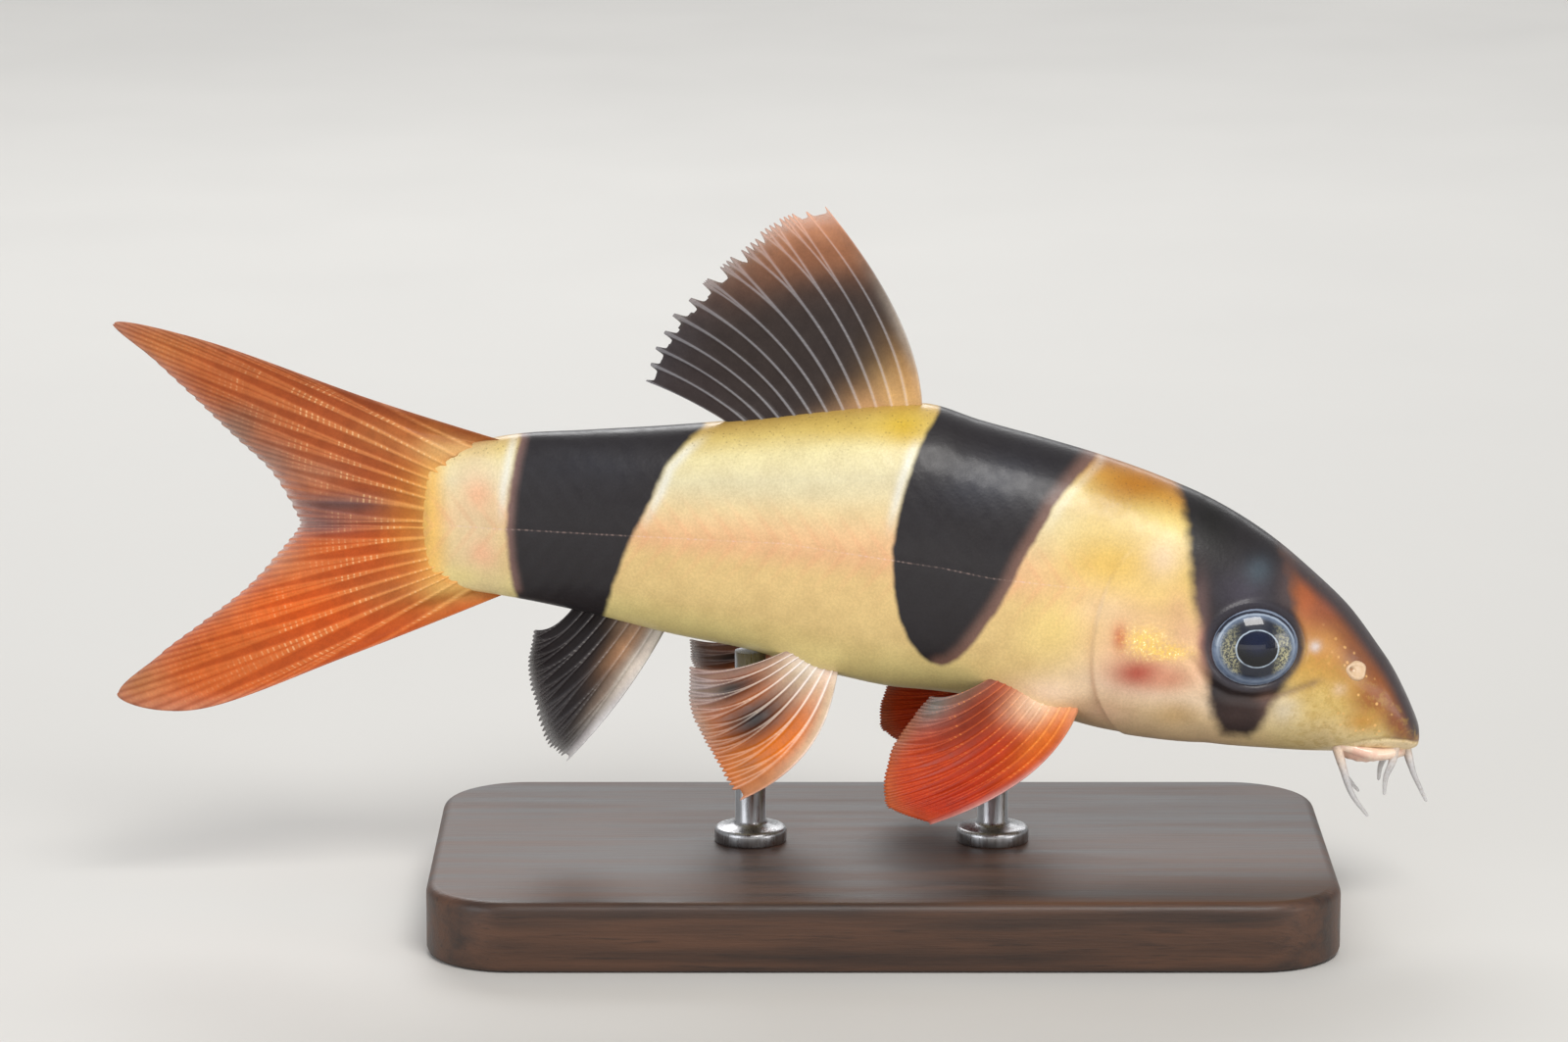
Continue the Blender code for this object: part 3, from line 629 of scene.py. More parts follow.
# %% The three bands
EYE_BAND = [
    (16.6, 29.0), (17.0, 25.2), (17.3, 23.6), (17.5, 21.6), (17.6, 19.6), (18.2, 17.6), (18.4, 15.6),
    (18.5, 14.2), (18.9, 12.6), (19.5, 11.2), (21.1, 11.0), (21.8, 11.9), (22.2, 13.1), (22.9, 14.2),
    (23.9, 16.5), (23.6, 18.9), (23.4, 20.2), (23.1, 21.4), (22.8, 22.4), (23.0, 26.0),
]
MIDDLE_BAND = [
    (3.9, 33.0), (3.3, 29.7), (2.5, 28.7), (1.9, 27.5), (1.3, 25.9), (0.8, 24.0), (0.5, 22.3), (0.6, 20.1),
    (0.9, 18.4), (1.4, 17.1), (2.2, 16.0), (2.7, 15.6), (3.3, 15.4), (3.8, 15.5), (4.2, 15.8), (4.8, 16.4),
    (5.5, 17.4), (6.4, 18.7), (7.2, 20.1), (8.0, 21.8), (8.9, 23.2), (9.7, 24.6), (10.6, 25.6), (11.5, 26.4),
    (12.3, 27.0), (13.6, 31.0),
]
REAR_BAND = [
    (-20.6, 32.0), (-20.8, 28.0), (-21.1, 26.8), (-21.4, 25.2), (-21.6, 22.9), (-21.5, 21.1), (-21.2, 19.3),
    (-20.8, 17.0), (-20.6, 12.0), (-16.6, 12.0), (-16.2, 17.0), (-15.9, 18.1), (-15.5, 19.6), (-14.9, 21.4),
    (-14.3, 22.9), (-13.8, 23.8), (-13.0, 25.4), (-12.4, 26.8), (-11.3, 27.9), (-10.2, 28.7), (-9.6, 32.0),
]
# Half width of each band's soft edge in millimetres
BAND_EDGES = [(EYE_BAND, 0.44), (MIDDLE_BAND, 0.17), (REAR_BAND, 0.19)]


def band_depth(x, z):
    """Above 0 inside a band, in half widths of its soft edge."""
    return np.max([area_depth(x, z, outline) / soft for outline, soft in BAND_EDGES], axis=0)


print("bands:", len(EYE_BAND), len(MIDDLE_BAND), len(REAR_BAND), "points")

# %% [markdown]
# Inside a band the colour isn't one black. It turns brown along the front of the middle band and the rear of
# the last one, and grey-violet over the eye, with a little painted blue sheen over the eye and where the
# back shines. Outside, a blue-white rim runs along the upper edges of the two rear bands. Plain black would
# look like printed stripes.

# %% Colours of the bands
BAND_BLACK = (40, 37, 40)
# What it is, x, z, radius along x, radius along z, colour, strength
BAND_DABS = [
    ("black-brown brow", 18.8, 23.4, 1.4, 2.0, (26, 25, 24), 0.9),
    ("grey-violet over the eye", 20.6, 19.8, 1.7, 1.2, (66, 62, 74), 0.85),
    # The three sheen dabs are painted reflections of light on the tops of the bands.
    ("painted blue sheen over the eye", 21.5, 20.8, 0.8, 0.7, (70, 82, 92), 0.8),
    ("brown behind the eye", 18.1, 19.2, 0.5, 1.6, (104, 82, 80), 0.8),
    ("red-brown at the eye's rear edge", 18.4, 16.4, 0.4, 1.3, (150, 106, 100), 0.8),
    ("brown before the eye", 23.2, 19.8, 0.6, 1.4, (92, 76, 76), 0.7),
    ("brown-violet under the eye", 20.4, 12.6, 2.2, 1.3, (74, 60, 58), 0.85),
    ("edge under the eye", 22.0, 13.2, 0.5, 1.1, (104, 80, 74), 0.7),
    ("painted sheen of the middle band", 6.2, 26.0, 3.0, 1.3, (38, 42, 56), 0.6),
    ("painted sheen of the rear band", -16.5, 26.8, 3.6, 1.0, (48, 49, 57), 0.5),
]
MIDDLE_FRONT = MIDDLE_BAND[12:26]
REAR_BEHIND = REAR_BAND[1:7]
RIM_OFFSET, RIM_HALF_WIDTH = 0.32, 0.26
RIM_WHITE = (226, 228, 224)


def band_paint(x, z):
    paint = flat(BAND_BLACK, x)
    paint = lay(paint, 0.9 * (1 - step(0.15, 1.0, path_distance(x, z, MIDDLE_FRONT))), (122, 92, 82))
    paint = lay(paint, 0.8 * (1 - step(0.1, 0.7, path_distance(x, z, REAR_BEHIND))), (134, 104, 98))
    paint = dabbed(paint, x, z, BAND_DABS)
    # The same painted shade round the eye goes over the band.
    return painted_shade_round_the_eye(paint, x, z)


def pale_rims(paint, x, z):
    """The blue-white line that the skin shows along the upper edges of the two rear bands."""
    for outline in (MIDDLE_BAND, REAR_BAND):
        rim = hill(area_depth(x, z, outline) + RIM_OFFSET, RIM_HALF_WIDTH)
        rim = rim * step(22.6, 25.4, z) * (1 - step(27.4, 28.6, z)) * (1 - 0.6 * step(6.0, 8.0, x))
        paint = lay(paint, 0.65 * rim, RIM_WHITE)
    return paint


print("dabs in the bands:", len(BAND_DABS))

# %% [markdown]
# Now the skin itself: one closed surface over head, torso and tail, so no seam shows. Its rings crowd at the
# snout, where the form turns fastest, and behind the tail's flesh they close down on to the fin.

# %% The rings of the skin
AROUND = 256
TRUNK_RINGS = 236
HEAD_RINGS = 184
SNOUT_CROWDING = 1.6
FAIRING, FAIRING_RINGS = 0.9, 20
FAIRED_WIDTH, FAIRED_HEIGHT = 0.04, 0.92
TAIL_MIDDLE = 23.0


def skin_rings():
    """Rings of the trunk up to the gill cover's edge, then rings of the cover and the head."""
    angle = 2 * math.pi * (np.arange(AROUND) + 0.5) / AROUND
    edge = gill_edge(angle)
    back_t = np.linspace(0.0, 1.0, TRUNK_RINGS)[:, None]
    head_t = np.linspace(0.0, 1.0, HEAD_RINGS + 1)[:-1, None]
    trunk_x = TAIL_X + (edge - 0.08 - TAIL_X) * back_t
    head_x = edge + (SNOUT_X - edge) * (1.0 - (1.0 - head_t) ** SNOUT_CROWDING)
    x = np.vstack([trunk_x, head_x])
    angles = np.broadcast_to(angle, x.shape)
    x, y, z = skin_at(x, angles, relief(x, angles))
    # the tail's flesh thins out over the roots of the fin rays
    return np.stack([x, y * (1 - 0.5 * step(21.5, 25.8, -x)), z], axis=-1)


def tail_fairing(first_ring):
    """Rings that close the tail's flesh down on to the fin, from the last one to the first of the skin."""
    t = np.linspace(1.0, 0.0, FAIRING_RINGS)[:-1, None]
    x = np.broadcast_to(TAIL_X - FAIRING * t, (len(t), AROUND))
    y = first_ring[:, 1] * (FAIRED_WIDTH + (1 - FAIRED_WIDTH) * np.cos(t * math.pi / 2))
    z = TAIL_MIDDLE + (first_ring[:, 2] - TAIL_MIDDLE) * (1 - (1 - FAIRED_HEIGHT) * t)
    return np.stack([x, y, z], axis=-1)


fish_rings = skin_rings()
SKIN_RINGS = np.vstack([tail_fairing(fish_rings[0]), fish_rings])
print("skin rings", len(SKIN_RINGS), "of", AROUND, "points")

# %% [markdown]
# The skin's mesh carries everything that its material has to know: the painted colours, the depth in the
# bands, the place along and up the body, and two masks for the gill's gold and the snout's golden freckles.

# %% One skin for head, torso and tail
# x, z, radius along x, radius along z
GILL_GOLD = [(14.9, 17.1, 1.1, 0.75), (16.4, 16.4, 1.1, 0.42)]


def build_skin():
    ends = np.array([[TAIL_X - FAIRING - 0.02, 0.0, TAIL_MIDDLE], [SNOUT_X, 0.0, SNOUT_Z]])
    points = np.vstack([SKIN_RINGS.reshape(-1, 3), ends])
    x, z = points[:, 0], points[:, 2]
    belly, back = section_at(x)[:2]
    share = np.clip((z - belly) / (back - belly), 0, 1)
    gold = sum(spot(x, z, *place_and_radii) for place_and_radii in GILL_GOLD)
    ridge = path_distance(x, z, SNOUT_RIDGE)
    numbers = {
        "along": x,
        "share": share,
        "line": above(LATERAL_LINE, x, z),
        "band": band_depth(x, z),
        "gill": np.clip(1.15 * gold, 0, 1),
        "snout": step(24.5, 27.5, x) * step(0.9, 1.5, ridge) * step(10.6, 11.6, z),
    }
    colours = {"paint": pale_rims(skin_paint(x, z, share), x, z), "dark": band_paint(x, z)}
    return mesh_from("skin", points, ring_faces(len(SKIN_RINGS), AROUND, "poles"), numbers, colours)


skin = build_skin()
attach(skin, "root")
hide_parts("head", "torso", "tail")
print("skin:", len(skin.data.vertices), "points")

# %% [markdown]
# Wet fish skin is a clear slimy coat over a faintly grainy dermis with tiny scales, and pigment cells below.
# A colour alone would look like painted plaster. So the nodes lay mottling and speckle over the paint, with
# faint pink chevrons where the muscle blocks meet. The gill cover's gold is a bright leaf broken by painted
# glints of light.

# %% Speckle, chevrons, gill gold and painted glints
def chevrons(finish, colour, along, line):
    """Faint pink lines where the muscle blocks meet."""
    vee = finish.sums("ADD", along, finish.times(finish.sums("ABSOLUTE", line), MUSCLE_SLANT))
    on_flank = finish.times(finish.near(line, 0.3, 3.0, 0.2), finish.eased(along, 10.0, 13.0, 1.0, 0.0))
    lines = finish.eased(finish.wave(vee, MUSCLE_PITCH), 0.2, 1.0)
    return finish.blend(finish.times(lines, on_flank), colour, srgb(226, 156, 116))


def speckle(finish, colour, along, share):
    """Dark freckles on the back, olive mottling and golden freckles on the snout."""
    freckles = finish.eased(finish.cells(0.3), 0.08, 0.28, 1.0, 0.0)
    on_back = finish.times(finish.eased(share, 0.8, 1.0), 0.45)
    colour = finish.blend(finish.times(freckles, on_back), colour, srgb(104, 78, 42))
    olive = finish.eased(finish.noise(0.5, 4.0, 0.65), 0.46, 0.62, 0.0, 0.4)
    on_snout = finish.times(finish.eased(along, 22.0, 25.0), finish.eased(share, 0.6, 0.72, 1.0, 0.0))
    colour = finish.blend(finish.times(olive, on_snout), colour, srgb(176, 140, 58))
    gold = finish.eased(finish.cells(0.5), 0.12, 0.24, 1.0, 0.0)
    return finish.blend(finish.times(gold, finish.stored("snout"), 0.75), colour, srgb(236, 186, 112))


def gill_gold_and_painted_glints(finish, colour):
    """Gold leaf on the gill cover, broken by painted glints of light."""
    gold_and_glint_noise, gill = finish.noise(0.2, 3.0, 0.7), finish.stored("gill")
    leaf = finish.times(gill, finish.eased(gold_and_glint_noise, 0.4, 0.56, 0.3, 0.9))
    colour = finish.blend(leaf, colour, srgb(250, 208, 92))
    # Painted highlight: near-white glints where the noise peaks on the gold.
    return finish.blend(finish.times(gill, finish.eased(gold_and_glint_noise, 0.56, 0.66)), colour, srgb(255, 250, 206))


print("a chevron every", MUSCLE_PITCH, "mm")

# %% [markdown]
# The bands are laid over all that, with noise on their edges so that they look grown and not cut out. The
# lateral line comes last: a thin rosy thread with pale pores, which crosses the bands more faintly. The
# bands get less gloss than the pale skin, because a bright sheen would hide them from above.

# %% The finish of the skin
PORE_PITCH = 0.36


def lateral_thread(finish, colour, along, line, depth):
    uneven = finish.sums("ADD", along, finish.times(finish.noise(0.8, 2.0), 0.7))
    pores = finish.eased(finish.wave(uneven, PORE_PITCH), -0.2, 0.9, 0.25, 1.0)
    pores = finish.times(pores, finish.eased(finish.noise(0.9, 3.0), 0.35, 0.6, 0.35, 1.0))
    in_reach = finish.times(finish.eased(along, -25.5, -24.0), finish.eased(along, 9.5, 12.5, 0.5, 0.0))
    in_bands = finish.eased(depth, -1.0, 1.0, 1.0, 0.45)
    thread = finish.times(finish.near(line, 0.01, 0.07), pores, in_reach, in_bands)
    return finish.blend(thread, colour, srgb(228, 196, 188))


def skin_finish():
    finish = Finish("wet_skin", Coat_Roughness=0.18)
    mottle, grain, ragged = finish.noise(1.6, 4.0), finish.noise(0.14, 2.0, 0.7), finish.noise(0.8, 2.0, 0.5)
    along, share, line = finish.stored("along"), finish.stored("share"), finish.stored("line")
    colour = chevrons(finish, finish.stored("paint", True), along, line)
    colour = gill_gold_and_painted_glints(finish, speckle(finish, colour, along, share))
    depth = finish.times(finish.sums("SUBTRACT", ragged, 0.5), 1.3)
    depth = finish.sums("ADD", finish.stored("band"), depth)
    colour = finish.blend(finish.eased(depth, -1.0, 1.0), colour, finish.stored("dark", True))
    colour = lateral_thread(finish, colour, along, line, depth)
    colour = finish.toned(colour, mottle, 0.3, 0.7, (0.93, 0.91, 0.89), (1.03, 1.03, 1.02))
    colour = finish.toned(colour, grain, 0.25, 0.75, (0.91, 0.9, 0.88), (1.05, 1.05, 1.05))
    finish.wear(
        Base_Color=colour,
        Specular_IOR_Level=finish.eased(depth, -1.0, 1.0, 0.45, 0.24),
        Coat_Weight=finish.eased(depth, -1.0, 1.0, 0.28, 0.18),
        Roughness=finish.eased(finish.noise(0.7, 3.0), 0.25, 0.75, 0.34, 0.5),
    )
    finish.bumps((mottle, 0.01), (finish.cells(0.24), 0.006), (grain, 0.004))
    return finish.material


skin.data.materials.append(skin_finish())
print("skin finish:", len(skin.data.materials[0].node_tree.nodes), "nodes")

# %% [markdown]
# A fish's eye is a flat-fronted ball with a clear cornea that bulges over the pupil. The ball is a grid of
# rings about its own axis, so each point knows its share of the radius, and the material needs only that
# number to draw every ring. A plain sphere would bulge far too much out of this flat cheek.

# %% The eyeballs
EYE_AHEAD = math.radians(9)
EYE_UP = math.radians(5)
EYE_RINGS, EYE_AROUND = 72, 160
CORNEA_BULGE, CORNEA_RADIUS = 0.10, 0.55


def turned(angle, axis):
    """A rotation about the x or the z axis."""
    c, s = math.cos(angle), math.sin(angle)
    if axis == "z":
        return np.array([[c, -s, 0], [s, c, 0], [0, 0, 1]])
    return np.array([[1, 0, 0], [0, c, -s], [0, s, c]])


def eye_ball(name, side):
    polar = np.linspace(0.0, math.pi, EYE_RINGS + 2)[1:-1, None]
    turn = np.linspace(0.0, 2 * math.pi, EYE_AROUND, endpoint=False)[None, :]
    east, north = np.sin(polar) * np.cos(turn), np.sin(polar) * np.sin(turn)
    rho = np.hypot(east, north)
    out = np.cos(polar) * (1.0 + CORNEA_BULGE * hill(rho, CORNEA_RADIUS) * (np.cos(polar) > 0))
    # the two poles lie in the middle of the cornea and at the back
    east, north = np.append(east.ravel(), [0, 0]), np.append(north.ravel(), [0, 0])
    out = np.append(out.ravel(), [1 + CORNEA_BULGE, -1])
    local = np.stack([east * EYE_RADII[0], side * out * EYE_RADII[1], north * EYE_RADII[2]], axis=-1)
    faces_way = turned(-EYE_AHEAD * side, "z") @ turned(EYE_UP * side, "x")
    points = local @ faces_way.T + np.array([EYE[0], side * EYE[1], EYE[2]])
    # the hidden back half counts as lying beyond the rim
    rho = np.append(rho.ravel(), [0.0, 0.0])
    rho[len(rho) // 2:-2] = np.maximum(rho[len(rho) // 2:-2], 1.0)
    faces = ring_faces(EYE_RINGS, EYE_AROUND, "poles")
    return mesh_from(name, points, faces, {"rho": rho, "east": east, "north": north})


eye_balls = {"eye_left": eye_ball("eye_left_ball", 1), "eye_right": eye_ball("eye_right_ball", -1)}
print("eyeballs of", EYE_RINGS * EYE_AROUND + 2, "points")

# %% [markdown]
# Light falls through the cornea on a black pupil with a painted blue reflection at its top, a thin broken
# silver ring, a dark iris with gold flecks at its sides, and a misty blue-grey outer ring that ends in fine
# arcs. Each ring is one ramp over the share of the radius, with a little noise on it, since a perfect circle
# looks like a printed target.

# %% The finish of the eyes
PUPIL = 0.44
SILVER_RING = 0.475
IRIS_EDGE = 0.86
DARK_ARC, OUTER_ARC = 0.915, 0.965


def iris_colour(finish, wavy, east, north, fleck):
    """Dark above and below the pupil, gold-flecked at the sides, misty at the rim."""
    flecks = finish.times(finish.eased(fleck, 0.42, 0.6), finish.eased(north, -0.7, 0.5, 1.0, 0.35))
    gold = finish.blend(flecks, srgb(66, 70, 74), srgb(204, 198, 154))
    at_sides = finish.eased(finish.sums("ABSOLUTE", east), 0.3, 0.6)
    iris = finish.blend(at_sides, srgb(34, 38, 50), gold)
    mist = finish.blend(finish.noise(0.4, 3.0), srgb(62, 76, 100), srgb(132, 148, 172))
    return finish.blend(finish.eased(wavy, 0.7, IRIS_EDGE), iris, mist)


def eye_arcs(finish, colour, wavy, north):
    """Fine pale and dark arcs towards the rim, and the broken silver ring round the pupil."""
    inner_arc = finish.near(wavy, 0.01, 0.03, centre=IRIS_EDGE)
    inner_arc = finish.times(inner_arc, finish.eased(north, -0.2, 0.4, 0.2, 0.8))
    colour = finish.blend(inner_arc, colour, srgb(164, 176, 190))
    dark_arc = finish.times(finish.near(wavy, 0.015, 0.035, centre=DARK_ARC), finish.eased(north, 0.0, 0.5))
    colour = finish.blend(dark_arc, colour, srgb(40, 42, 54))
    colour = finish.blend(finish.near(wavy, 0.008, 0.03, 0.8, centre=OUTER_ARC), colour, srgb(138, 148, 166))
    colour = finish.blend(finish.eased(wavy, 0.985, 1.02), colour, srgb(40, 38, 48))
    broken = finish.eased(finish.noise(0.5, 3.0), 0.3, 0.6, 0.45, 1.0)
    silver = finish.times(finish.near(wavy, 0.008, 0.026, centre=SILVER_RING), broken)
    return finish.blend(silver, colour, srgb(168, 182, 196))


def eye_finish():
    finish = Finish("clear_eye", Coat_Weight=0.8, Coat_Roughness=0.03, Specular_IOR_Level=0.15)
    rho, east, north = finish.stored("rho"), finish.stored("east"), finish.stored("north")
    fleck = finish.noise(0.16, 4.0, 0.75)
    unrest = finish.times(finish.sums("SUBTRACT", finish.noise(0.35, 3.0), 0.5), 0.03)
    wavy = finish.sums("ADD", rho, unrest)
    colour = eye_arcs(finish, iris_colour(finish, wavy, east, north, fleck), wavy, north)
    # The pupil is black, with a painted blue reflection of light towards its top.
    painted_reflection_share = finish.eased(finish.sums("SUBTRACT", north, rho), -0.6, 0.3)
    pupil_with_painted_reflection = finish.blend(painted_reflection_share, srgb(4, 5, 10), srgb(14, 26, 58))
    colour = finish.blend(finish.eased(rho, PUPIL, PUPIL + 0.025, 1.0, 0.0), colour, pupil_with_painted_reflection)
    finish.wear(Base_Color=colour, Roughness=finish.eased(finish.noise(0.6), 0.3, 0.7, 0.16, 0.3))
    finish.bumps((fleck, 0.01))
    return finish.material


clear_eye = eye_finish()
for node, ball in eye_balls.items():
    ball.data.materials.append(clear_eye)
    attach(ball, "root")
    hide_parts(node)
print("pupil radius", round(PUPIL * EYE_RADII[0], 2), "mm")

# %% [markdown]
# The six feelers round the mouth are soft, pale tapers with a faint grain, clearer towards their tips. A
# tube that follows a smooth curve through four points bends like the real ones; a chain of cylinders would
# show its joints. One table gives the left side, and the right side is its mirror image.

# %% Feelers
# Root to tip on the left side, in millimetres
FEELERS = {
    "rostral_inner": [(30.2, 0.45, 10.5), (30.5, 0.6, 9.4), (30.8, 0.85, 8.4), (31.5, 1.1, 6.9)],
    "rostral_outer": [(29.7, 1.05, 10.5), (29.5, 1.3, 9.4), (29.1, 1.5, 8.4), (29.0, 1.7, 7.4)],
    "maxillary": [(26.2, 1.9, 10.4), (26.6, 2.1, 9.0), (27.1, 2.5, 7.6), (28.0, 2.9, 6.4)],
}
ROOT_RADIUS, TAPER = 0.3, 0.21
TIP_FROM = 0.96
SIDES = ((1, "left"), (-1, "right"))


def mirrored(rows, side):
    return [(x, y * side, z) for x, y, z in rows]


def tube(name, path, radius, rings=64, around=24):
    """A closed tube along a path; radius is a function of the share of its length."""
    t = 0.5 - 0.5 * np.cos(np.linspace(0.0, math.pi, rings))
    spine = even(path, t)
    ahead = np.gradient(spine, axis=0)
    ahead /= np.linalg.norm(ahead, axis=1, keepdims=True)
    # any way that isn't along the path will do to start the ring's two axes
    aside = np.array([0.04, 1.0, 0.03]) if abs(ahead[0, 1]) < 0.8 else np.array([0.0, 0.0, 1.0])
    beside = np.cross(ahead, aside)
    beside /= np.linalg.norm(beside, axis=1, keepdims=True)
    over = np.cross(beside, ahead)
    turn = np.linspace(0.0, 2 * math.pi, around, endpoint=False)[None, :, None]
    size = np.array([radius(value) for value in t])[:, None, None]
    points = spine[:, None, :] + size * (beside[:, None, :] * np.cos(turn) + over[:, None, :] * np.sin(turn))
    faces = ring_faces(rings, around, "flat")
    return mesh_from(name, points.reshape(-1, 3), faces, {"reach": np.repeat(t, around)})


def feeler_size(t):
    """A long taper with a rounded tip."""
    blunt = math.sqrt(max(0.0, 1.0 - max(0.0, (t - TIP_FROM) / (1 - TIP_FROM)) ** 2))
    return (ROOT_RADIUS - TAPER * t) * max(blunt, 0.05)


def feeler_finish():
    finish = Finish("pale_feeler", Coat_Weight=0.5, Coat_Roughness=0.15)
    reach, grain = finish.stored("reach"), finish.noise(0.16, 3.0)
    colour = finish.blend(finish.eased(reach, 0.0, 0.5), srgb(222, 196, 172), srgb(196, 194, 194))
    colour = finish.blend(finish.eased(grain, 0.45, 0.75, 0.0, 0.45), colour, srgb(150, 128, 116))
    finish.wear(
        Base_Color=colour,
        Roughness=finish.eased(grain, 0.2, 0.8, 0.3, 0.5),
        Alpha=finish.eased(reach, 0.2, 1.0, 1.0, 0.5),
    )
    finish.bumps((grain, 0.006))
    return finish.material


pale_feeler = feeler_finish()
for side, word in SIDES:
    for pair, path in FEELERS.items():
        feeler = tube(f"feeler_{pair}_{word}", mirrored(path, side), feeler_size)
        feeler.data.materials.append(pale_feeler)
        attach(feeler, "root")
        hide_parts(f"barbel_{pair}_{word}")
print("feelers", 2 * len(FEELERS), "with roots of", 2 * ROOT_RADIUS, "mm")

# %% [markdown]
# The lips are tubes too, thick at the middle and sunk in the skin for half of their width. The upper one
# runs round the snout from corner to corner, and the lower one is in two halves, as on the fish. Small
# wrinkles cross them, which the radius makes with a sine along the tube.

# %% Lips
UPPER_LIP = [(25.9, 1.8, 10.55), (28.2, 1.75, 9.85), (29.6, 0.95, 9.8), (30.05, 0.0, 9.8)]
LOWER_LIP = [(26.3, 1.35, 9.95), (27.6, 1.15, 9.62), (28.6, 0.7, 9.58), (28.9, 0.22, 9.6)]
UPPER_LIP_RADIUS, LOWER_LIP_RADIUS = 0.42, 0.4
WRINKLE, WRINKLE_PACE = 0.05, 46


def lip_size(thick):
    def size(t):
        swell = 0.35 + 0.65 * math.sin(math.pi * (0.06 + 0.88 * t)) ** 0.5
        return thick * swell * (1 + WRINKLE * math.sin(WRINKLE_PACE * t))
    return size


def lip_finish():
    finish = Finish("moist_lip", Coat_Weight=0.6, Coat_Roughness=0.12)
    patch, grain = finish.noise(0.9, 3.0), finish.noise(0.14, 3.0)
    colour = finish.blend(finish.eased(patch, 0.3, 0.7), srgb(238, 214, 190), srgb(226, 180, 160))
    colour = finish.blend(finish.eased(grain, 0.5, 0.8, 0.0, 0.4), colour, srgb(250, 236, 214))
    finish.wear(Base_Color=colour, Roughness=finish.eased(patch, 0.2, 0.8, 0.28, 0.45))
    finish.bumps((grain, 0.03))
    return finish.material


upper_path = mirrored(UPPER_LIP, -1) + mirrored(UPPER_LIP[:-1], 1)[::-1]
lips = [tube("upper_lip", upper_path, lip_size(UPPER_LIP_RADIUS), 120, 28)]
for side, word in SIDES:
    lips.append(tube(f"lower_lip_{word}", mirrored(LOWER_LIP, side), lip_size(LOWER_LIP_RADIUS), 72, 28))
moist_lip = lip_finish()
for piece in lips:
    piece.data.materials.append(moist_lip)
    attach(piece, "root")
print("lips", len(lips))

# %% [markdown]
# Each nostril is a low disc of pale skin with a small opening in front and a flap behind it. It's turned
# about the way the snout faces there, so it lies flat on the slope. A profile of radius and height, spun
# round with a slight waver, gives a softer rim than a cylinder would.

# %% Nostrils
NOSTRIL = (27.2, 15.0)
# Radius and height of each ring; the last rings sink into the snout
NOSTRIL_PROFILE = [
    (0.02, 0.03), (0.12, 0.03), (0.2, 0.035), (0.26, 0.04), (0.32, 0.05), (0.38, 0.065),
    (0.43, 0.075), (0.48, 0.08), (0.54, 0.07), (0.60, 0.03), (0.65, -0.04), (0.69, -0.3),
]
NOSTRIL_AROUND = 64
NOSTRIL_SQUASH = 0.88
PIT, PIT_DEPTH = (0.34, 0.1), 0.12
SKIN_SAMPLES = 721


def on_skin(x, z, side):
    """The place on the skin at x and z on one side, and the way it faces."""
    angles = np.linspace(-math.pi / 2, math.pi / 2, SKIN_SAMPLES)
    _, y, heights = skin_at(np.full(SKIN_SAMPLES, x), angles)
    here = np.interp(z, heights, angles)
    steps = ((0, 0), (0.05, 0), (0, 0.02))
    spots = [skin_at(np.array([x + dx]), np.array([here + turn])) for dx, turn in steps]
    spots = [np.array([spot_x[0], spot_y[0] * side, spot_z[0]]) for spot_x, spot_y, spot_z in spots]
    out = np.cross(spots[1] - spots[0], spots[2] - spots[0])
    out *= np.sign(out[1] * side) / np.linalg.norm(out)
    return spots[0], out


def nostril(name, side):
    place_on_skin, out = on_skin(*NOSTRIL, side)
    beside = np.cross(out, [0.0, 0.0, 1.0])
    beside /= np.linalg.norm(beside)
    over = np.cross(beside, out)
    turn = np.linspace(0.0, 2 * math.pi, NOSTRIL_AROUND, endpoint=False)
    rows, opening = [], []
    for radius, height in NOSTRIL_PROFILE:
        waver = 1.0 + 0.05 * np.sin(3 * turn + 0.7) + 0.03 * np.sin(5 * turn)
        u, w = radius * np.cos(turn), radius * np.sin(turn) * NOSTRIL_SQUASH
        # This number falls towards the pit, where the finish paints shade in the opening.
        opening.append(1 - 0.7 * hill(np.hypot(u - PIT[0], w - PIT[1]), 0.12))
        u, w = u * waver, w * waver
        lift = height - PIT_DEPTH * hill(np.hypot(u - PIT[0], w - PIT[1]), 0.15) * (radius < 0.5)
        rows.append(place_on_skin + u[:, None] * beside * (-side) + w[:, None] * over + lift[:, None] * out)
    faces = ring_faces(len(rows), NOSTRIL_AROUND, "flat")
    return mesh_from(name, np.vstack(rows), faces, {"reach": np.concatenate(opening)})


def nostril_finish():
    finish = Finish("nostril_skin", Coat_Weight=0.5, Coat_Roughness=0.15)
    grain = finish.noise(0.2, 3.0)
    skin_tone = finish.blend(grain, srgb(200, 166, 128), srgb(224, 194, 160))
    # The dark brown is painted shade inside the nostril's opening.
    colour = finish.blend(finish.stored("reach"), srgb(70, 36, 28), skin_tone)
    finish.wear(Base_Color=colour, Roughness=finish.eased(grain, 0.2, 0.8, 0.3, 0.48))
    finish.bumps((grain, 0.02))
    return finish.material


nostril_skin = nostril_finish()
for side, word in SIDES:
    piece = nostril(f"nostril_{word}", side)
    piece.data.materials.append(nostril_skin)
    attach(piece, "root")
print("nostrils at x and z", NOSTRIL)

# %% [markdown]
# A fin is a double film of skin stretched over rays. Each ray is a stack of tiny bony segments that forks
# twice on its way to the margin, so its end can be a brush of four fine tips. Modelling the fin as one
# closed sheet with ridges keeps film and rays in one piece, as grown skin is. Separate rods on a flat
# sheet would look like an umbrella.

# %% Rays and margins
COLUMNS_PER_RAY = 24
ROWS_OF_FIN = 60
ROOT_WIDTH, TIP_WIDTH, FREE_TIP_WIDTH = 0.17, 0.07, 0.10
FORKS_AT = (0.3, 0.62)


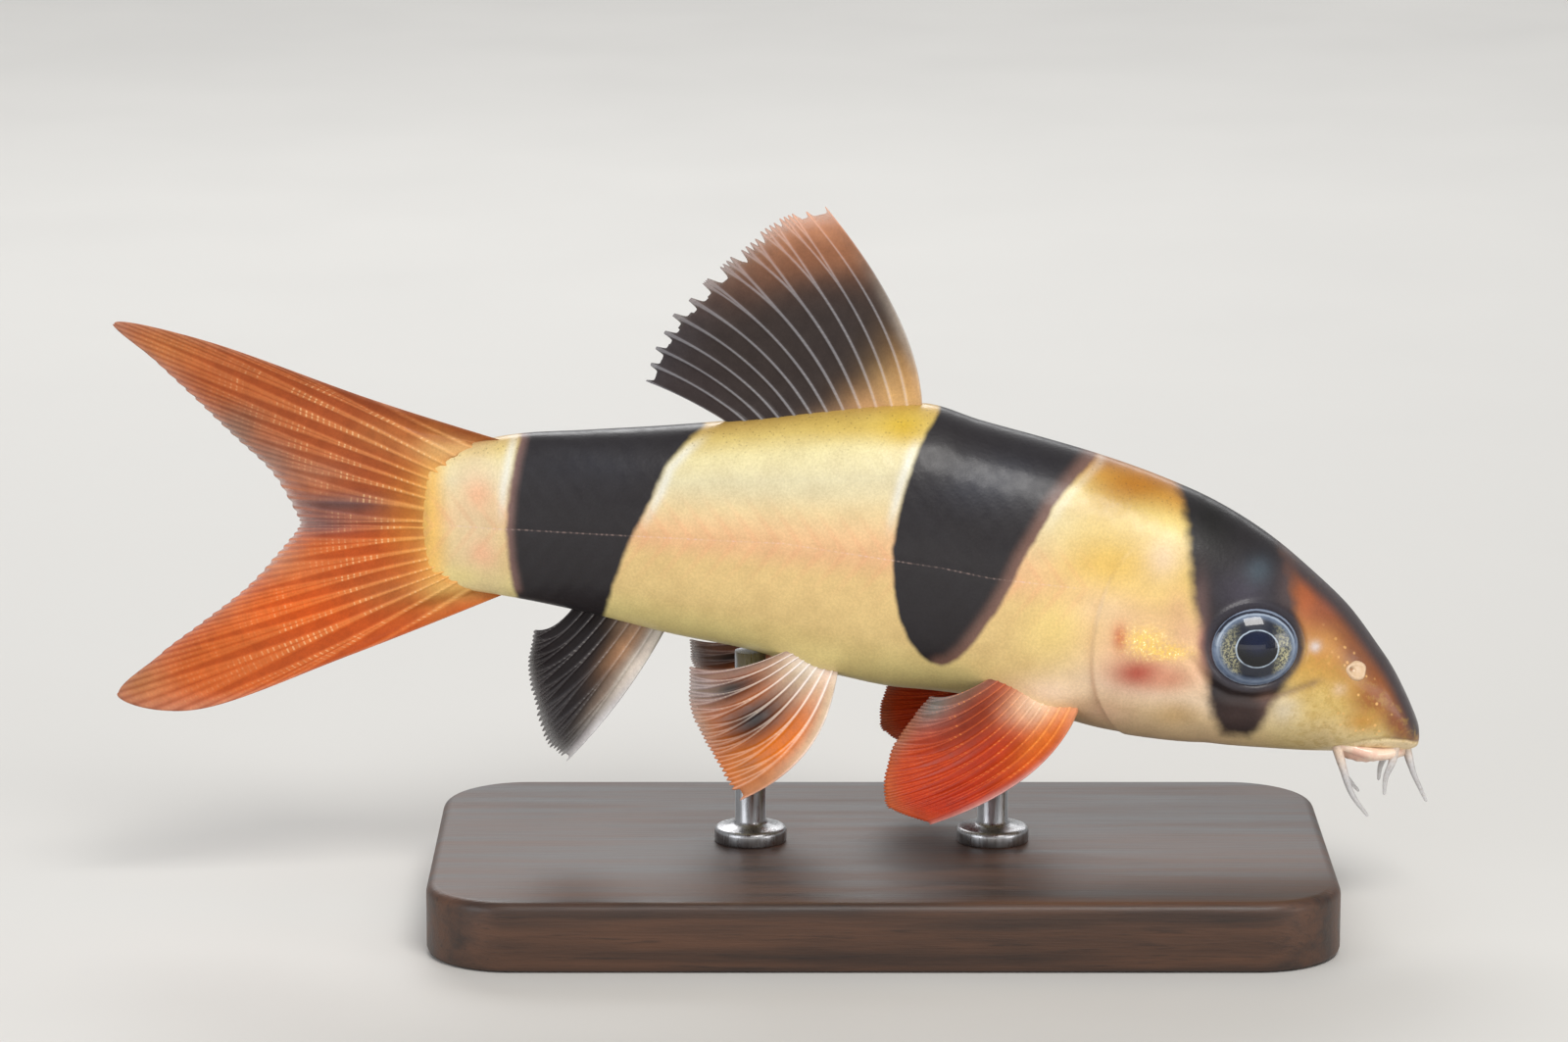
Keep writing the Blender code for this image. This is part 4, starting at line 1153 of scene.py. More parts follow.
def ray_ridges(offset, v, forks, spread, tip_width=TIP_WIDTH, fork_at=FORKS_AT):
    """1 on a ray and 0 between rays; offset is in ray spacings from the nearest ray."""
    first = spread * step(fork_at[0], 1.0, v) * forks
    second = 0.5 * spread * step(fork_at[1], 1.0, v) * forks
    width = ROOT_WIDTH + (tip_width - ROOT_WIDTH) * v**0.7
    ridge = np.zeros(np.broadcast(offset, v).shape)
    for a in (-1, 1):
        for b in (-1, 1):
            ridge = np.maximum(ridge, hill(offset - a * first - b * second, width))
    return ridge


def upright(*rows):
    """Rows of x and z in the fish's middle plane."""
    return [[(x, 0.0, z) for x, z in row] for row in rows]


def between_rows(rows, u, v):
    """Points of a sheet that passes through its root, middle and tip rows."""
    root, middle, tip = (even(row, u)[None] for row in rows)
    w = v[..., None]
    return root * (1 - w) * (1 - 2 * w) + middle * 4 * w * (1 - w) + tip * w * (2 * w - 1)


def unit_normals(points):
    normal = np.cross(np.gradient(points, axis=1), np.gradient(points, axis=0))
    return normal / np.maximum(np.linalg.norm(normal, axis=-1, keepdims=True), 1e-9)


print("points from one ray to the next:", COLUMNS_PER_RAY)

# %% [markdown]
# The sheet is a grid of columns from the first ray to the last and of rows from the root to the tip. Its
# thickness adds up from a fleshy root, the film and the rays, and thins out at every edge. Between the
# rays the margin is cut back by a notch, which leaves the tips free, and each ray ends a little early or
# late by a random draw, since a perfectly even margin looks stamped.

# %% The sheet of a fin
def along_root(value, u):
    """A number, or a function of the share along the root, as numbers for all columns."""
    return value(u) if callable(value) else np.full(u.shape, value)


def half_thickness(u, v, t, ridge, rays, thick):
    root_half, film_half, ray_half = thick
    flesh = (1.0 - step(0.0, 0.3, v)) * root_half
    half = flesh + film_half * (1 - 0.4 * v) + ray_half * (1 - 0.6 * v) * ridge
    at_margin = np.clip((1.02 - t) / 0.06, 0.08, 1.0)
    from_side = np.minimum(u, 1 - u)[None, :] * (rays - 1)
    at_side = np.clip(from_side / 0.22 + 0.05, 0.05, 1.0)
    return half * np.sqrt(at_margin) * np.sqrt(at_side)


def fin_sheet(rows, rays, thick, notch, simple=1, wave=0.0, jitter=0.012, both_ends=False,
              fork_at=FORKS_AT, seed=3, spread=0.25):
    """A closed sheet from root, middle and tip rows, each running from the first ray to the last.

    thick is half of the root's flesh, of the film and of a ray; simple counts the rays that don't fork.
    """
    count = (rays - 1) * COLUMNS_PER_RAY + 1
    u = np.linspace(0.0, 1.0, count)
    ray = u * (rays - 1)
    number = np.rint(ray).astype(int)
    offset = ray - number
    forks = np.where(number < simple, 0.0, 1.0)
    if both_ends:
        forks = forks * np.where(number > rays - 1 - simple, 0.0, 1.0)
    split = along_root(spread, u)
    lengths = 1.0 + jitter * np.random.default_rng(seed).uniform(-1, 1, rays)[number] * forks
    tips = ray_ridges(offset, np.ones(count), forks, split, FREE_TIP_WIDTH)
    end = lengths - along_root(notch, u) * (1.0 - tips)
    t = np.linspace(0.0, 1.0, ROWS_OF_FIN)[:, None]
    v = end[None, :] * t
    points = between_rows(rows, u, v)
    normal = unit_normals(points)
    ridge = ray_ridges(offset[None, :], np.clip(v, 0, 1), forks[None, :], split[None, :], fork_at=fork_at)
    half = half_thickness(u, v, t, ridge, rays, thick)
    sag = 0.03 * np.sin(ray * math.pi)[None, :] * v + wave * np.sin(2.4 * math.pi * u + 0.6)[None, :] * v**2
    middle = points + normal * sag[..., None]
    lift = normal * half[..., None]
    loops = np.concatenate([middle + lift, (middle - lift)[:, ::-1]], axis=1)
    length = np.linalg.norm(even(rows[2], u) - even(rows[0], u), axis=-1)
    grids = {"u": np.broadcast_to(u, v.shape), "v": v, "ray": ridge, "reach": v * length}
    numbers = {key: np.concatenate([grid, grid[:, ::-1]], axis=1).ravel() for key, grid in grids.items()}
    return loops.reshape(-1, 3), sheet_faces(count), numbers


def sheet_faces(count):
    """Quads round the sheet, and strips that close its root and its margin."""
    around = 2 * count
    faces = ring_faces(ROWS_OF_FIN, around)
    for first in (0, (ROWS_OF_FIN - 1) * around):
        last = first + around - 1
        faces += [(first + j, first + j + 1, last - j - 1, last - j) for j in range(count - 1)]
    return faces


print("rows from root to tip:", ROWS_OF_FIN)

# %% [markdown]
# One finish serves every fin, with its own colours each time. The film is mottled and darker between the
# rays, the rays glow most at their roots, and rows of pale ticks mark the joints of their segments, as in
# the photograph. Towards the margin the film turns clear and only the tips of the rays stay.

# %% The finish of a fin
JOINT_PITCH = 0.36
WHITE = (1.0, 1.0, 1.0)


def fin_finish(name, ray_colour, ray_share, gap_shade, tick_colour, tick_share, fade=(1.8, 0.5)):
    finish = Finish(name, Coat_Weight=0.05, Coat_Roughness=0.2, Specular_IOR_Level=0.14)
    ray, v = finish.stored("ray"), finish.stored("v")
    blots, grain = finish.noise(0.8, 3.0), finish.noise(0.12, 2.0, 0.7)
    off_root = finish.eased(v, 0.0, 0.2)
    colour = finish.stored("paint", True)
    colour = finish.toned(colour, blots, 0.3, 0.7, (0.8, 0.77, 0.76), (0.95, 0.93, 0.91), off_root)
    colour = finish.toned(colour, grain, 0.25, 0.75, (0.9, 0.9, 0.9), (1.05, 1.05, 1.05))
    gaps = finish.times(finish.eased(ray, 0.05, 0.5, 1.0, 0.0), off_root)
    colour = finish.blend(1.0, colour, finish.blend(gaps, WHITE, gap_shade), "MULTIPLY")
    glow = finish.eased(v, 0.1, 0.7, fade[0] * ray_share, fade[1] * ray_share)
    glow = finish.times(finish.eased(ray, 0.5, 0.95), glow)
    colour = finish.blend(glow, colour, srgb(*ray_colour), "SCREEN")
    joint = finish.eased(finish.wave(finish.stored("reach"), JOINT_PITCH), 0.35, 0.9)
    lit = finish.times(finish.eased(ray, 0.6, 0.95), finish.eased(finish.noise(1.6, 3.0), 0.42, 0.6))
    lit = finish.times(lit, finish.eased(v, 0.45, 0.85, 1.0, 0.15))
    colour = finish.blend(finish.times(joint, lit, tick_share), colour, srgb(*tick_colour))
    rays_stay = finish.times(ray, finish.eased(v, 0.88, 1.0, 0.95, 0.7))
    finish.wear(
        Base_Color=colour,
        Alpha=finish.sums("MAXIMUM", finish.stored("film"), rays_stay),
        Roughness=finish.eased(blots, 0.2, 0.8, 0.32, 0.5),
    )
    finish.bumps((finish.times(joint, ray), 0.01), (grain, 0.006))
    return finish.material


def make_fin(name, nodes, sheet, paint, film, material):
    points, faces, numbers = sheet
    u, v = numbers["u"], numbers["v"]
    numbers["film"] = np.clip(film(u, v), 0.05, 1.0)
    fin = mesh_from(name, points, faces, numbers, {"paint": paint(u, v, points)})
    fin.data.materials.append(material)
    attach(fin, "root")
    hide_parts(*nodes)
    print(name, "points", len(points))


print("joints of the rays every", JOINT_PITCH, "mm")

# %% [markdown]
# The dorsal fin is smoky brown-black with grey rays. In front they fork into fine tips, and at the rear they
# stay single and stand free of the film. Its front base is clear golden-white and its highest tips glow
# orange. All of this is painted by the fin's own coordinates, u along the root and v from root to tip.

# %% Dorsal fin
DORSAL = upright(
    [(2.3, 28.9), (-0.1, 28.8), (-2.8, 28.7), (-5.4, 28.4), (-7.9, 28.1)],
    [(1.0, 34.7), (-2.5, 34.7), (-5.9, 33.4), (-8.6, 31.7), (-10.75, 29.85)],
    [(-3.3, 41.3), (-6.6, 40.1), (-10.2, 37.1), (-12.6, 34.1), (-13.6, 31.1)],
)
# What it is, u, v, radius along u, radius along v, colour, strength
DORSAL_DABS = [
    ("grey margin", 0.8, 1.0, 0.3, 0.2, (80, 78, 84), 0.7),
    ("grey-brown rear", 0.95, 0.6, 0.2, 0.6, (64, 56, 58), 0.5),
    ("orange tips", 0.04, 1.0, 0.3, 0.2, (246, 170, 120), 1.0),
    ("brown under the tips", 0.14, 0.84, 0.2, 0.1, (160, 106, 76), 0.55),
    ("brown-grey upper margin", 0.5, 1.0, 0.2, 0.07, (132, 104, 88), 0.5),
    ("gold at the first rays", 0.02, 0.16, 0.1, 0.2, (226, 176, 110), 1.0),
    ("golden-white base", 0.14, 0.1, 0.1, 0.15, (228, 184, 120), 1.0),
    ("lower gold behind it", 0.28, 0.06, 0.12, 0.11, (210, 164, 112), 0.95),
    ("end of the gold", 0.44, 0.02, 0.16, 0.07, (180, 142, 106), 0.8),
    ("pale leading edge", 0.0, 0.45, 0.035, 0.26, (190, 180, 168), 0.8),
]


def dorsal_paint(u, v, points):
    return dabbed(flat((60, 52, 50), u), u, v, DORSAL_DABS)


def dorsal_film(u, v):
    clear_front = 0.12 * hill(u, 0.25) * (1 - step(0.2, 0.5, v))
    return 1.0 - 0.25 * step(0.75, 0.95, v) * (1 - u) - 0.4 * step(0.9, 0.99, v) - clear_front


dorsal_sheet = fin_sheet(
    DORSAL, rays=13, thick=(0.4, 0.05, 0.08), notch=lambda u: 0.025 + 0.045 * step(0.1, 0.45, u),
    simple=2, wave=0.5, fork_at=(0.6, 0.85), spread=lambda u: 0.22 - 0.18 * step(0.3, 0.6, u),
)
smoky_film = fin_finish(
    "smoky_film", (164, 164, 170), 0.34, (0.86, 0.84, 0.84), (190, 184, 180), 0.12, fade=(1.3, 1.1),
)
make_fin("dorsal_sail", ["dorsal_fin"], dorsal_sheet, dorsal_paint, dorsal_film, smoky_film)

# %% [markdown]
# The tail fin is forked, and its longest rays run along the outer edges. It's one sheet from the lower edge
# to the upper one, so that the short middle rays join both lobes without a seam. Its colours are dabs in
# the side view, because the grey patches and the orange streaks run across both lobes.

# %% Form of the tail fin
# From the middle of the fork to the outer edge
UPPER_ROOT = [
    (-25.2, 22.95), (-25.2, 23.6), (-25.2, 24.2), (-25.2, 24.8), (-25.1, 25.4),
    (-25.0, 26.0), (-24.7, 26.7), (-23.4, 27.2), (-21.0, 27.0),
]
UPPER_MIDDLE = [
    (-29.5, 22.95), (-30.2, 24.5), (-31.3, 25.9), (-32.4, 27.3), (-33.5, 28.8),
    (-34.6, 30.5), (-31.5, 30.1), (-26.7, 28.6), (-21.2, 27.3),
]
UPPER_TIP = [
    (-33.8, 22.95), (-35.2, 25.5), (-37.4, 27.7), (-39.6, 29.9), (-41.9, 32.2),
    (-44.1, 34.4), (-38.5, 33.3), (-29.6, 30.2), (-21.3, 27.6),
]
LOWER_ROOT = [
    (-25.2, 22.55), (-25.2, 22.0), (-25.2, 21.4), (-25.2, 20.8), (-25.1, 20.3),
    (-25.0, 19.9), (-24.6, 19.6), (-23.2, 19.5), (-21.0, 19.6),
]
LOWER_MIDDLE = [
    (-29.5, 22.45), (-30.1, 21.4), (-31.1, 20.1), (-32.3, 18.8), (-33.5, 17.4),
    (-34.6, 15.8), (-32.0, 15.4), (-27.0, 17.1), (-21.2, 19.2),
]
LOWER_TIP = [
    (-33.8, 22.35), (-35.0, 20.8), (-37.0, 18.7), (-39.4, 16.8), (-42.0, 14.8),
    (-44.4, 12.3), (-39.5, 11.7), (-30.8, 15.0), (-21.3, 18.9),
]
LOBES = ((LOWER_ROOT, UPPER_ROOT), (LOWER_MIDDLE, UPPER_MIDDLE), (LOWER_TIP, UPPER_TIP))
TAIL_FIN = upright(*(low[::-1] + high for low, high in LOBES))


def tail_notch(u):
    return 0.018 * step(0.2, 0.3, u) * step(0.2, 0.3, 1 - u)


tail_sheet = fin_sheet(
    TAIL_FIN, rays=20, thick=(0.4, 0.06, 0.06), notch=tail_notch, simple=2, wave=0.5, jitter=0.004,
    both_ends=True, fork_at=(0.02, 0.3),
)
print("tail fin", round(UPPER_TIP[5][1] - LOWER_TIP[5][1], 1), "mm from tip to tip")

# %% [markdown]
# The lobes go from a golden root through orange to paler tips, the lower one redder than the upper, and the
# short middle rays are grey-violet. The root takes the same gold as the flesh that it grows from, so the
# line between fin and body can't be seen.

# %% Colours of the tail fin
LOWER_ORANGE, UPPER_ORANGE = (208, 100, 44), (184, 98, 54)
# What it is, x, z, radius along x, radius along z, colour, strength
TAIL_DABS = [
    ("grey-violet middle rays", -31.4, 23.8, 3.6, 0.7, (96, 86, 92), 0.85),
    ("grey below them", -32.4, 22.6, 2.2, 0.7, (110, 92, 98), 0.8),
    ("brown root of the middle rays", -29.2, 22.9, 2.2, 0.5, (150, 100, 84), 0.5),
    ("pink above the middle rays", -33.0, 25.6, 2.0, 0.9, (180, 128, 104), 0.6),
    ("grey-brown rear of the upper lobe", -37.2, 28.2, 1.5, 1.9, (128, 104, 90), 0.75),
    ("grey-pink near the fork", -35.2, 26.4, 1.3, 1.2, (152, 120, 106), 0.7),
    ("orange streak of the upper lobe", -36.5, 30.6, 3.6, 1.2, (182, 92, 44), 0.7),
    ("pale upper tip", -41.6, 33.0, 2.4, 1.3, (194, 118, 66), 0.8),
    ("pale orange under the fork", -35.2, 20.4, 2.0, 1.2, (214, 138, 90), 0.7),
    ("pale rear of the lower lobe", -38.2, 18.0, 2.2, 1.2, (212, 134, 82), 0.7),
    ("orange of the outer lower lobe", -39.0, 15.2, 3.6, 1.5, (204, 98, 40), 0.8),
    ("bright orange lower lobe", -34.0, 17.6, 4.0, 1.5, (236, 106, 36), 0.85),
    ("pale lower tip", -43.2, 13.2, 1.8, 1.3, (196, 128, 80), 0.8),
    ("golden orange behind the root", -27.2, 22.9, 1.4, 3.8, (222, 146, 66), 0.8),
    ("golden root", -25.7, 22.9, 1.0, 4.2, TAIL_GOLD, 1.0),
    ("tan upper corner", -24.6, 27.3, 2.6, 0.8, (216, 172, 112), 0.85),
    ("tan lower corner", -24.6, 18.9, 2.6, 0.8, (222, 180, 104), 0.85),
    ("brown upper edge", -28.6, 28.0, 2.0, 1.0, (200, 134, 78), 0.6),
    ("brown lower edge", -28.6, 18.6, 2.2, 1.1, (196, 124, 66), 0.6),
]


def tail_paint(u, v, points):
    x, z = points[:, 0], points[:, 2]
    upper = step(21.5, 25.0, z)[:, None]
    paint = srgb(*LOWER_ORANGE) * (1 - upper) + srgb(*UPPER_ORANGE) * upper
    paint = lay(paint, 0.6 * hill(np.minimum(u, 1 - u), 0.36) * step(0.8, 1.0, v), (208, 150, 124))
    return dabbed(paint, x, z, TAIL_DABS)


def tail_film(u, v):
    trailing = hill(np.minimum(u, 1 - u) - 0.5, 0.26)
    return 1.0 - 0.42 * step(0.7, 1.0, v) * trailing - 0.3 * step(0.93, 1.0, v) * trailing**0.5


orange_film = fin_finish("orange_film", (226, 138, 80), 0.2, (0.8, 0.68, 0.6), (250, 214, 160), 0.45)
TAIL_NODES = ["caudal_fin_upper", "caudal_fin_lower"]
make_fin("tail_fan", TAIL_NODES, tail_sheet, tail_paint, tail_film, orange_film)

# %% [markdown]
# The anal fin is black behind a white leading edge, with a few orange and white rays at its front base.
# It's the same kind of sheet as the dorsal fin. Its film gets its own finish, because its rays are much
# darker, and one shared finish would turn either fin's rays the wrong grey.

# %% Anal fin
ANAL = upright(
    [(-12.3, 17.0), (-13.6, 17.4), (-14.9, 17.8), (-16.2, 18.2), (-17.4, 18.5)],
    [(-15.0, 12.6), (-16.2, 13.6), (-17.3, 14.7), (-18.2, 15.8), (-18.8, 16.9)],
    [(-18.3, 8.7), (-19.4, 9.9), (-20.2, 12.1), (-20.5, 14.5), (-20.1, 16.6)],
)
ANAL_DABS = [
    ("grey margin", 0.6, 1.0, 0.4, 0.1, (70, 62, 62), 0.6),
    ("orange-white front rays", 0.26, 0.22, 0.12, 0.22, (204, 156, 116), 0.9),
    ("pale base behind them", 0.36, 0.1, 0.16, 0.12, (176, 146, 120), 0.6),
    ("white upper leading edge", 0.05, 0.3, 0.11, 0.36, (255, 246, 232), 1.0),
    ("white lower leading edge", 0.0, 0.75, 0.06, 0.4, (250, 251, 255), 1.0),
    ("brown between white and black", 0.16, 0.55, 0.05, 0.16, (150, 124, 104), 0.5),
]


def anal_paint(u, v, points):
    return dabbed(flat((38, 34, 36), u), u, v, ANAL_DABS)


def anal_film(u, v):
    return 1.0 - 0.2 * step(0.75, 0.95, v) - 0.35 * step(0.9, 1.0, v)


anal_sheet = fin_sheet(ANAL, rays=9, thick=(0.35, 0.05, 0.08), notch=0.035, wave=0.3)
black_film = fin_finish("black_film", (170, 164, 164), 0.14, (0.92, 0.9, 0.9), (210, 204, 200), 0.2)
make_fin("anal_keel", ["anal_fin"], anal_sheet, anal_paint, anal_film, black_film)

# %% [markdown]
# The paired fins hang down and back from the breast and the belly. Both sides come from one table, with
# the sideways distance turned over for the right one, and the pose spreads them like hands on the water.
# Their rows have a sideways distance too, since these fins lean outwards.

# %% Pelvic fins
PELVIC = (
    [(-2.6, 1.7, 15.0), (-3.3, 1.9, 15.5), (-4.0, 2.1, 15.9), (-4.7, 2.3, 16.3)],
    [(-4.1, 5.1, 10.9), (-6.3, 4.9, 12.1), (-7.8, 4.2, 13.6), (-8.3, 3.4, 15.1)],
    [(-8.2, 7.6, 8.3), (-9.8, 6.4, 10.8), (-11.0, 5.0, 13.1), (-11.2, 3.9, 15.3)],
)
PELVIC_DABS = [
    ("white root", 0.5, 0.1, 0.8, 0.22, (250, 240, 232), 0.95),
    ("cream leading edge", 0.0, 0.35, 0.09, 0.6, (250, 236, 224), 0.9),
    ("bright orange front", 0.21, 0.6, 0.12, 0.3, (255, 136, 6), 0.95),
    ("brown-orange front tip", 0.15, 0.85, 0.2, 0.15, (190, 116, 60), 0.8),
    ("black blotch", 0.46, 0.55, 0.2, 0.32, (24, 12, 16), 1.0),
    ("orange streak behind it", 0.66, 0.52, 0.05, 0.2, (202, 116, 60), 0.7),
    ("dark rear rays", 0.8, 0.62, 0.14, 0.36, (28, 20, 26), 1.0),
    ("grey rear margin", 0.85, 0.9, 0.22, 0.22, (150, 140, 142), 0.9),
    ("grey last ray", 1.0, 0.5, 0.1, 0.6, (132, 116, 116), 0.9),
    ("tan margin", 0.55, 0.95, 0.16, 0.1, (170, 130, 100), 0.6),
]


def pelvic_paint(u, v, points):
    return dabbed(flat((206, 106, 22), u), u, v, PELVIC_DABS)


def pelvic_film(u, v):
    return 1.0 - 0.4 * step(0.8, 1.0, v) * step(0.1, 0.6, u) - 0.1 * step(0.8, 1.0, v)


pelvic_skin = fin_finish(
    "pelvic_film", (255, 240, 226), 0.34, (0.8, 0.75, 0.6), (255, 232, 196), 0.25, fade=(2.0, 0.36),
)


def pelvic_fan(side, word):
    rows = [mirrored(row, side) for row in PELVIC]
    sheet = fin_sheet(rows, rays=9, thick=(0.4, 0.05, 0.08), notch=0.03, wave=0.25, seed=5)
    name, node = f"pelvic_fan_{word}", f"pelvic_fin_{word}"
    make_fin(name, [node], sheet, pelvic_paint, pelvic_film, pelvic_skin)


print("dabs on a pelvic fin:", len(PELVIC_DABS))

# %% [markdown]
# The pectoral fins are the largest pair, deep red with a pale fleshy root and a greyish rear margin. They
# are made like the pelvic fins, only with more rays and a smoother margin, so their notches are shallow in
# front and a little deeper behind.

# %% Pectoral fins
PECTORAL = (
    [(11.7, 2.1, 13.4), (9.9, 2.3, 13.8), (8.4, 2.5, 14.3), (7.0, 2.8, 14.9)],
    [(8.6, 6.9, 9.9), (6.1, 6.7, 10.5), (4.3, 6.2, 11.8), (4.4, 5.0, 14.0)],
    [(2.6, 9.6, 7.4), (0.2, 9.1, 8.5), (0.5, 7.5, 11.4), (2.6, 5.8, 14.0)],
)
PECTORAL_DABS = [
    ("orange-pink root", 0.3, 0.1, 0.4, 0.16, (236, 164, 96), 0.95),
    ("cream flesh of the root", 0.35, 0.12, 0.32, 0.13, (252, 226, 196), 1.0),
    ("orange front", 0.12, 0.3, 0.14, 0.2, (240, 142, 52), 0.85),
    ("red-orange leading edge", 0.06, 0.45, 0.1, 0.25, (222, 100, 40), 0.6),
    ("deep red front tip", 0.15, 0.85, 0.26, 0.26, (174, 40, 16), 0.85),
    ("red middle", 0.4, 0.55, 0.2, 0.24, (190, 60, 26), 0.7),
    ("brown-red rear", 0.75, 0.4, 0.22, 0.3, (128, 52, 32), 0.85),
    ("grey-brown last ray", 1.0, 0.4, 0.12, 0.45, (128, 104, 92), 0.9),
    ("grey rear margin", 0.95, 0.85, 0.16, 0.3, (122, 124, 122), 1.0),
    ("tan rear tip", 0.75, 1.0, 0.14, 0.12, (160, 116, 86), 0.7),
    ("orange margin", 0.4, 1.0, 0.3, 0.06, (186, 104, 60), 0.7),
    ("pink first ray", 0.0, 0.7, 0.03, 0.4, (214, 166, 164), 0.9),
]


def pectoral_paint(u, v, points):
    return dabbed(flat((190, 60, 8), u), u, v, PECTORAL_DABS)


def pectoral_film(u, v):
    return 1.0 - 0.5 * step(0.75, 1.0, v) * step(0.55, 1.0, u) - 0.1 * step(0.9, 1.0, v)


def pectoral_notch(u):
    return 0.006 + 0.016 * u


red_film = fin_finish("red_film", (226, 104, 44), 0.16, (0.82, 0.7, 0.62), (246, 160, 84), 0.45)


def pectoral_fan(side, word):
    rows = [mirrored(row, side) for row in PECTORAL]
    sheet = fin_sheet(
        rows, rays=13, thick=(0.6, 0.05, 0.07), notch=pectoral_notch, wave=0.3, jitter=0.006, seed=6,
    )
    name, node = f"pectoral_fan_{word}", f"pectoral_fin_{word}"
    make_fin(name, [node], sheet, pectoral_paint, pectoral_film, red_film)


print("dabs on a pectoral fin:", len(PECTORAL_DABS))

# %% [markdown]
# A model maker fits both fins of one side and then turns the fish over. The loop goes the same way. Each fin
# takes the place of its own solid, so the solids' list shows at once if one side has been forgotten.

# %% Fins on both sides
for side, word in SIDES:
    pelvic_fan(side, word)
    pectoral_fan(side, word)

# %% [markdown]
# The stand stays out of the way: a low block of dark oiled wood and two slim steel rods behind the paired
# fins. Both are stacks of outlines at rising heights, which is how a moulding or a turned rod is drawn.
# They don't swing with the fish, so the sideways shift is taken off again.

# %% Outlines and stacks
def rounded_outline(length, width, corner, steps=14):
    """A rectangle with round corners, as points all round."""
    points = []
    for sx, sy, start in ((1, 1, 0), (-1, 1, 90), (-1, -1, 180), (1, -1, 270)):
        for i in range(steps + 1):
            turn = math.radians(start + 90 * i / steps)
            x = sx * (length / 2 - corner) + corner * math.cos(turn)
            y = sy * (width / 2 - corner) + corner * math.sin(turn)
            points.append((x, y))
    return np.array(points)


def stacked(name, levels):
    """A closed solid from outlines at rising heights; its flat ends stay flat in the light."""
    points = np.array([(x, y - float(sway(x)), z) for z, ring in levels for x, y in ring])
    obj = mesh_from(name, points, ring_faces(len(levels), len(levels[0][1]), "flat"))
    for face in obj.data.polygons:
        face.use_smooth = len(face.vertices) == 4
    return obj


print("a round corner has", len(rounded_outline(2, 2, 1)) // 4, "points")

# %% [markdown]
# A cabinet maker breaks each edge before oiling the wood. A soft edge catches a thin line of light, which a
# sharp cube edge never does. The foot is drawn in a little, so a fine shadow lifts the block off the floor.

# %% The wooden block
STAND_TOP = 4.0
BASE_SIZE = (52.0, 28.0)
BASE_CORNER = 5.0
EDGE_RADIUS = 0.6


def base_levels():
    insets = [(0.0, 0.25), (0.12, 0.08), (0.35, 0.0)]
    for turn in np.linspace(0, math.pi / 2, 8):
        height = STAND_TOP - EDGE_RADIUS + EDGE_RADIUS * math.sin(turn)
        insets.append((height, EDGE_RADIUS * (1 - math.cos(turn))))
    length, width = BASE_SIZE
    return [(z, rounded_outline(length - 2 * a, width - 2 * a, BASE_CORNER - a)) for z, a in insets]


def wood_finish():
    finish = Finish("oiled_wood", Coat_Weight=0.15, Coat_Roughness=0.3)
    rings = finish.noise(1.4, 5.0, 0.6, (0.06, 1.0, 1.0))
    pores = finish.noise(0.22, 3.0, 0.7, (0.05, 1.0, 1.0))
    colour = finish.blend(finish.eased(rings, 0.3, 0.7), srgb(44, 28, 20), srgb(84, 54, 36))
    colour = finish.blend(finish.eased(pores, 0.55, 0.75, 0.0, 0.6), colour, srgb(26, 17, 13))
    finish.wear(Base_Color=colour, Roughness=finish.eased(rings, 0.2, 0.8, 0.42, 0.6))
    finish.bumps((pores, 0.03))
    return finish.material


block = stacked("stand_block", base_levels())
block.data.materials.append(wood_finish())
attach(block, "root")
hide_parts("stand_base")
print("stand top at", STAND_TOP, "mm")

# %% [markdown]
# A rod like this is turned on a lathe: a broad foot with a round shoulder, a short neck and a plain shaft
# that ends inside the fish. The foot's size and the height come from the solid, so the two can't disagree.

# %% The steel rods
ROD_RADIUS = 0.9
ROD_SIDES = 48
FOOT_HEIGHT, SHOULDER = 0.6, 0.3
INTO_FISH = 0.35


def turned_profile(foot, top):
    """Heights and radii of a rod, from its foot in the block to its end in the fish."""
    profile = [(STAND_TOP - 0.05, foot - 0.1), (STAND_TOP + 0.1, foot), (STAND_TOP + FOOT_HEIGHT, foot)]
    for turn in np.linspace(0.3, math.pi / 2, 6):
        height = STAND_TOP + FOOT_HEIGHT + SHOULDER * math.sin(turn)
        profile.append((height, foot - SHOULDER * (1 - math.cos(turn))))
    profile += [(STAND_TOP + 1.0, ROD_RADIUS + 0.25), (STAND_TOP + 1.25, ROD_RADIUS)]
    return profile + [(top + INTO_FISH, ROD_RADIUS)]


def steel_finish():
    finish = Finish("brushed_rod", Metallic=1.0)
    brushed = finish.noise(0.12, 3.0, 0.6, (1.0, 1.0, 0.06))
    finish.wear(
        Base_Color=finish.blend(brushed, srgb(150, 150, 152), srgb(196, 196, 198)),
        Roughness=finish.eased(brushed, 0.2, 0.8, 0.22, 0.42),
    )
    finish.bumps((brushed, 0.01))
    return finish.material


rod_steel = steel_finish()
turns = np.linspace(0, 2 * math.pi, ROD_SIDES, endpoint=False)
round_ring = np.stack([np.cos(turns), np.sin(turns)], axis=-1)
for node in ("stand_rod_front", "stand_rod_rear"):
    low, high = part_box(node)
    centre = ((low.x + high.x) / 2 / MM, (low.y + high.y) / 2 / MM)
    profile = turned_profile((high.x - low.x) / 2 / MM, high.z / MM)
    rod = stacked(node + "_turned", [(z, centre + radius * round_ring) for z, radius in profile])
    rod.data.materials.append(rod_steel)
    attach(rod, "root")
    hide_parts(node)
    print(rod.name, "at x", round(centre[0], 1), "mm")

# %% [markdown]
# A large soft key light from above, weaker fills from both sides and a rim light from behind show the form
# and keep the wet highlights small. One hard lamp would burn the pale flank out and lose the dark bands. A
# long low light fills the shade under the belly, and one more keeps the far floor as pale as the near one.

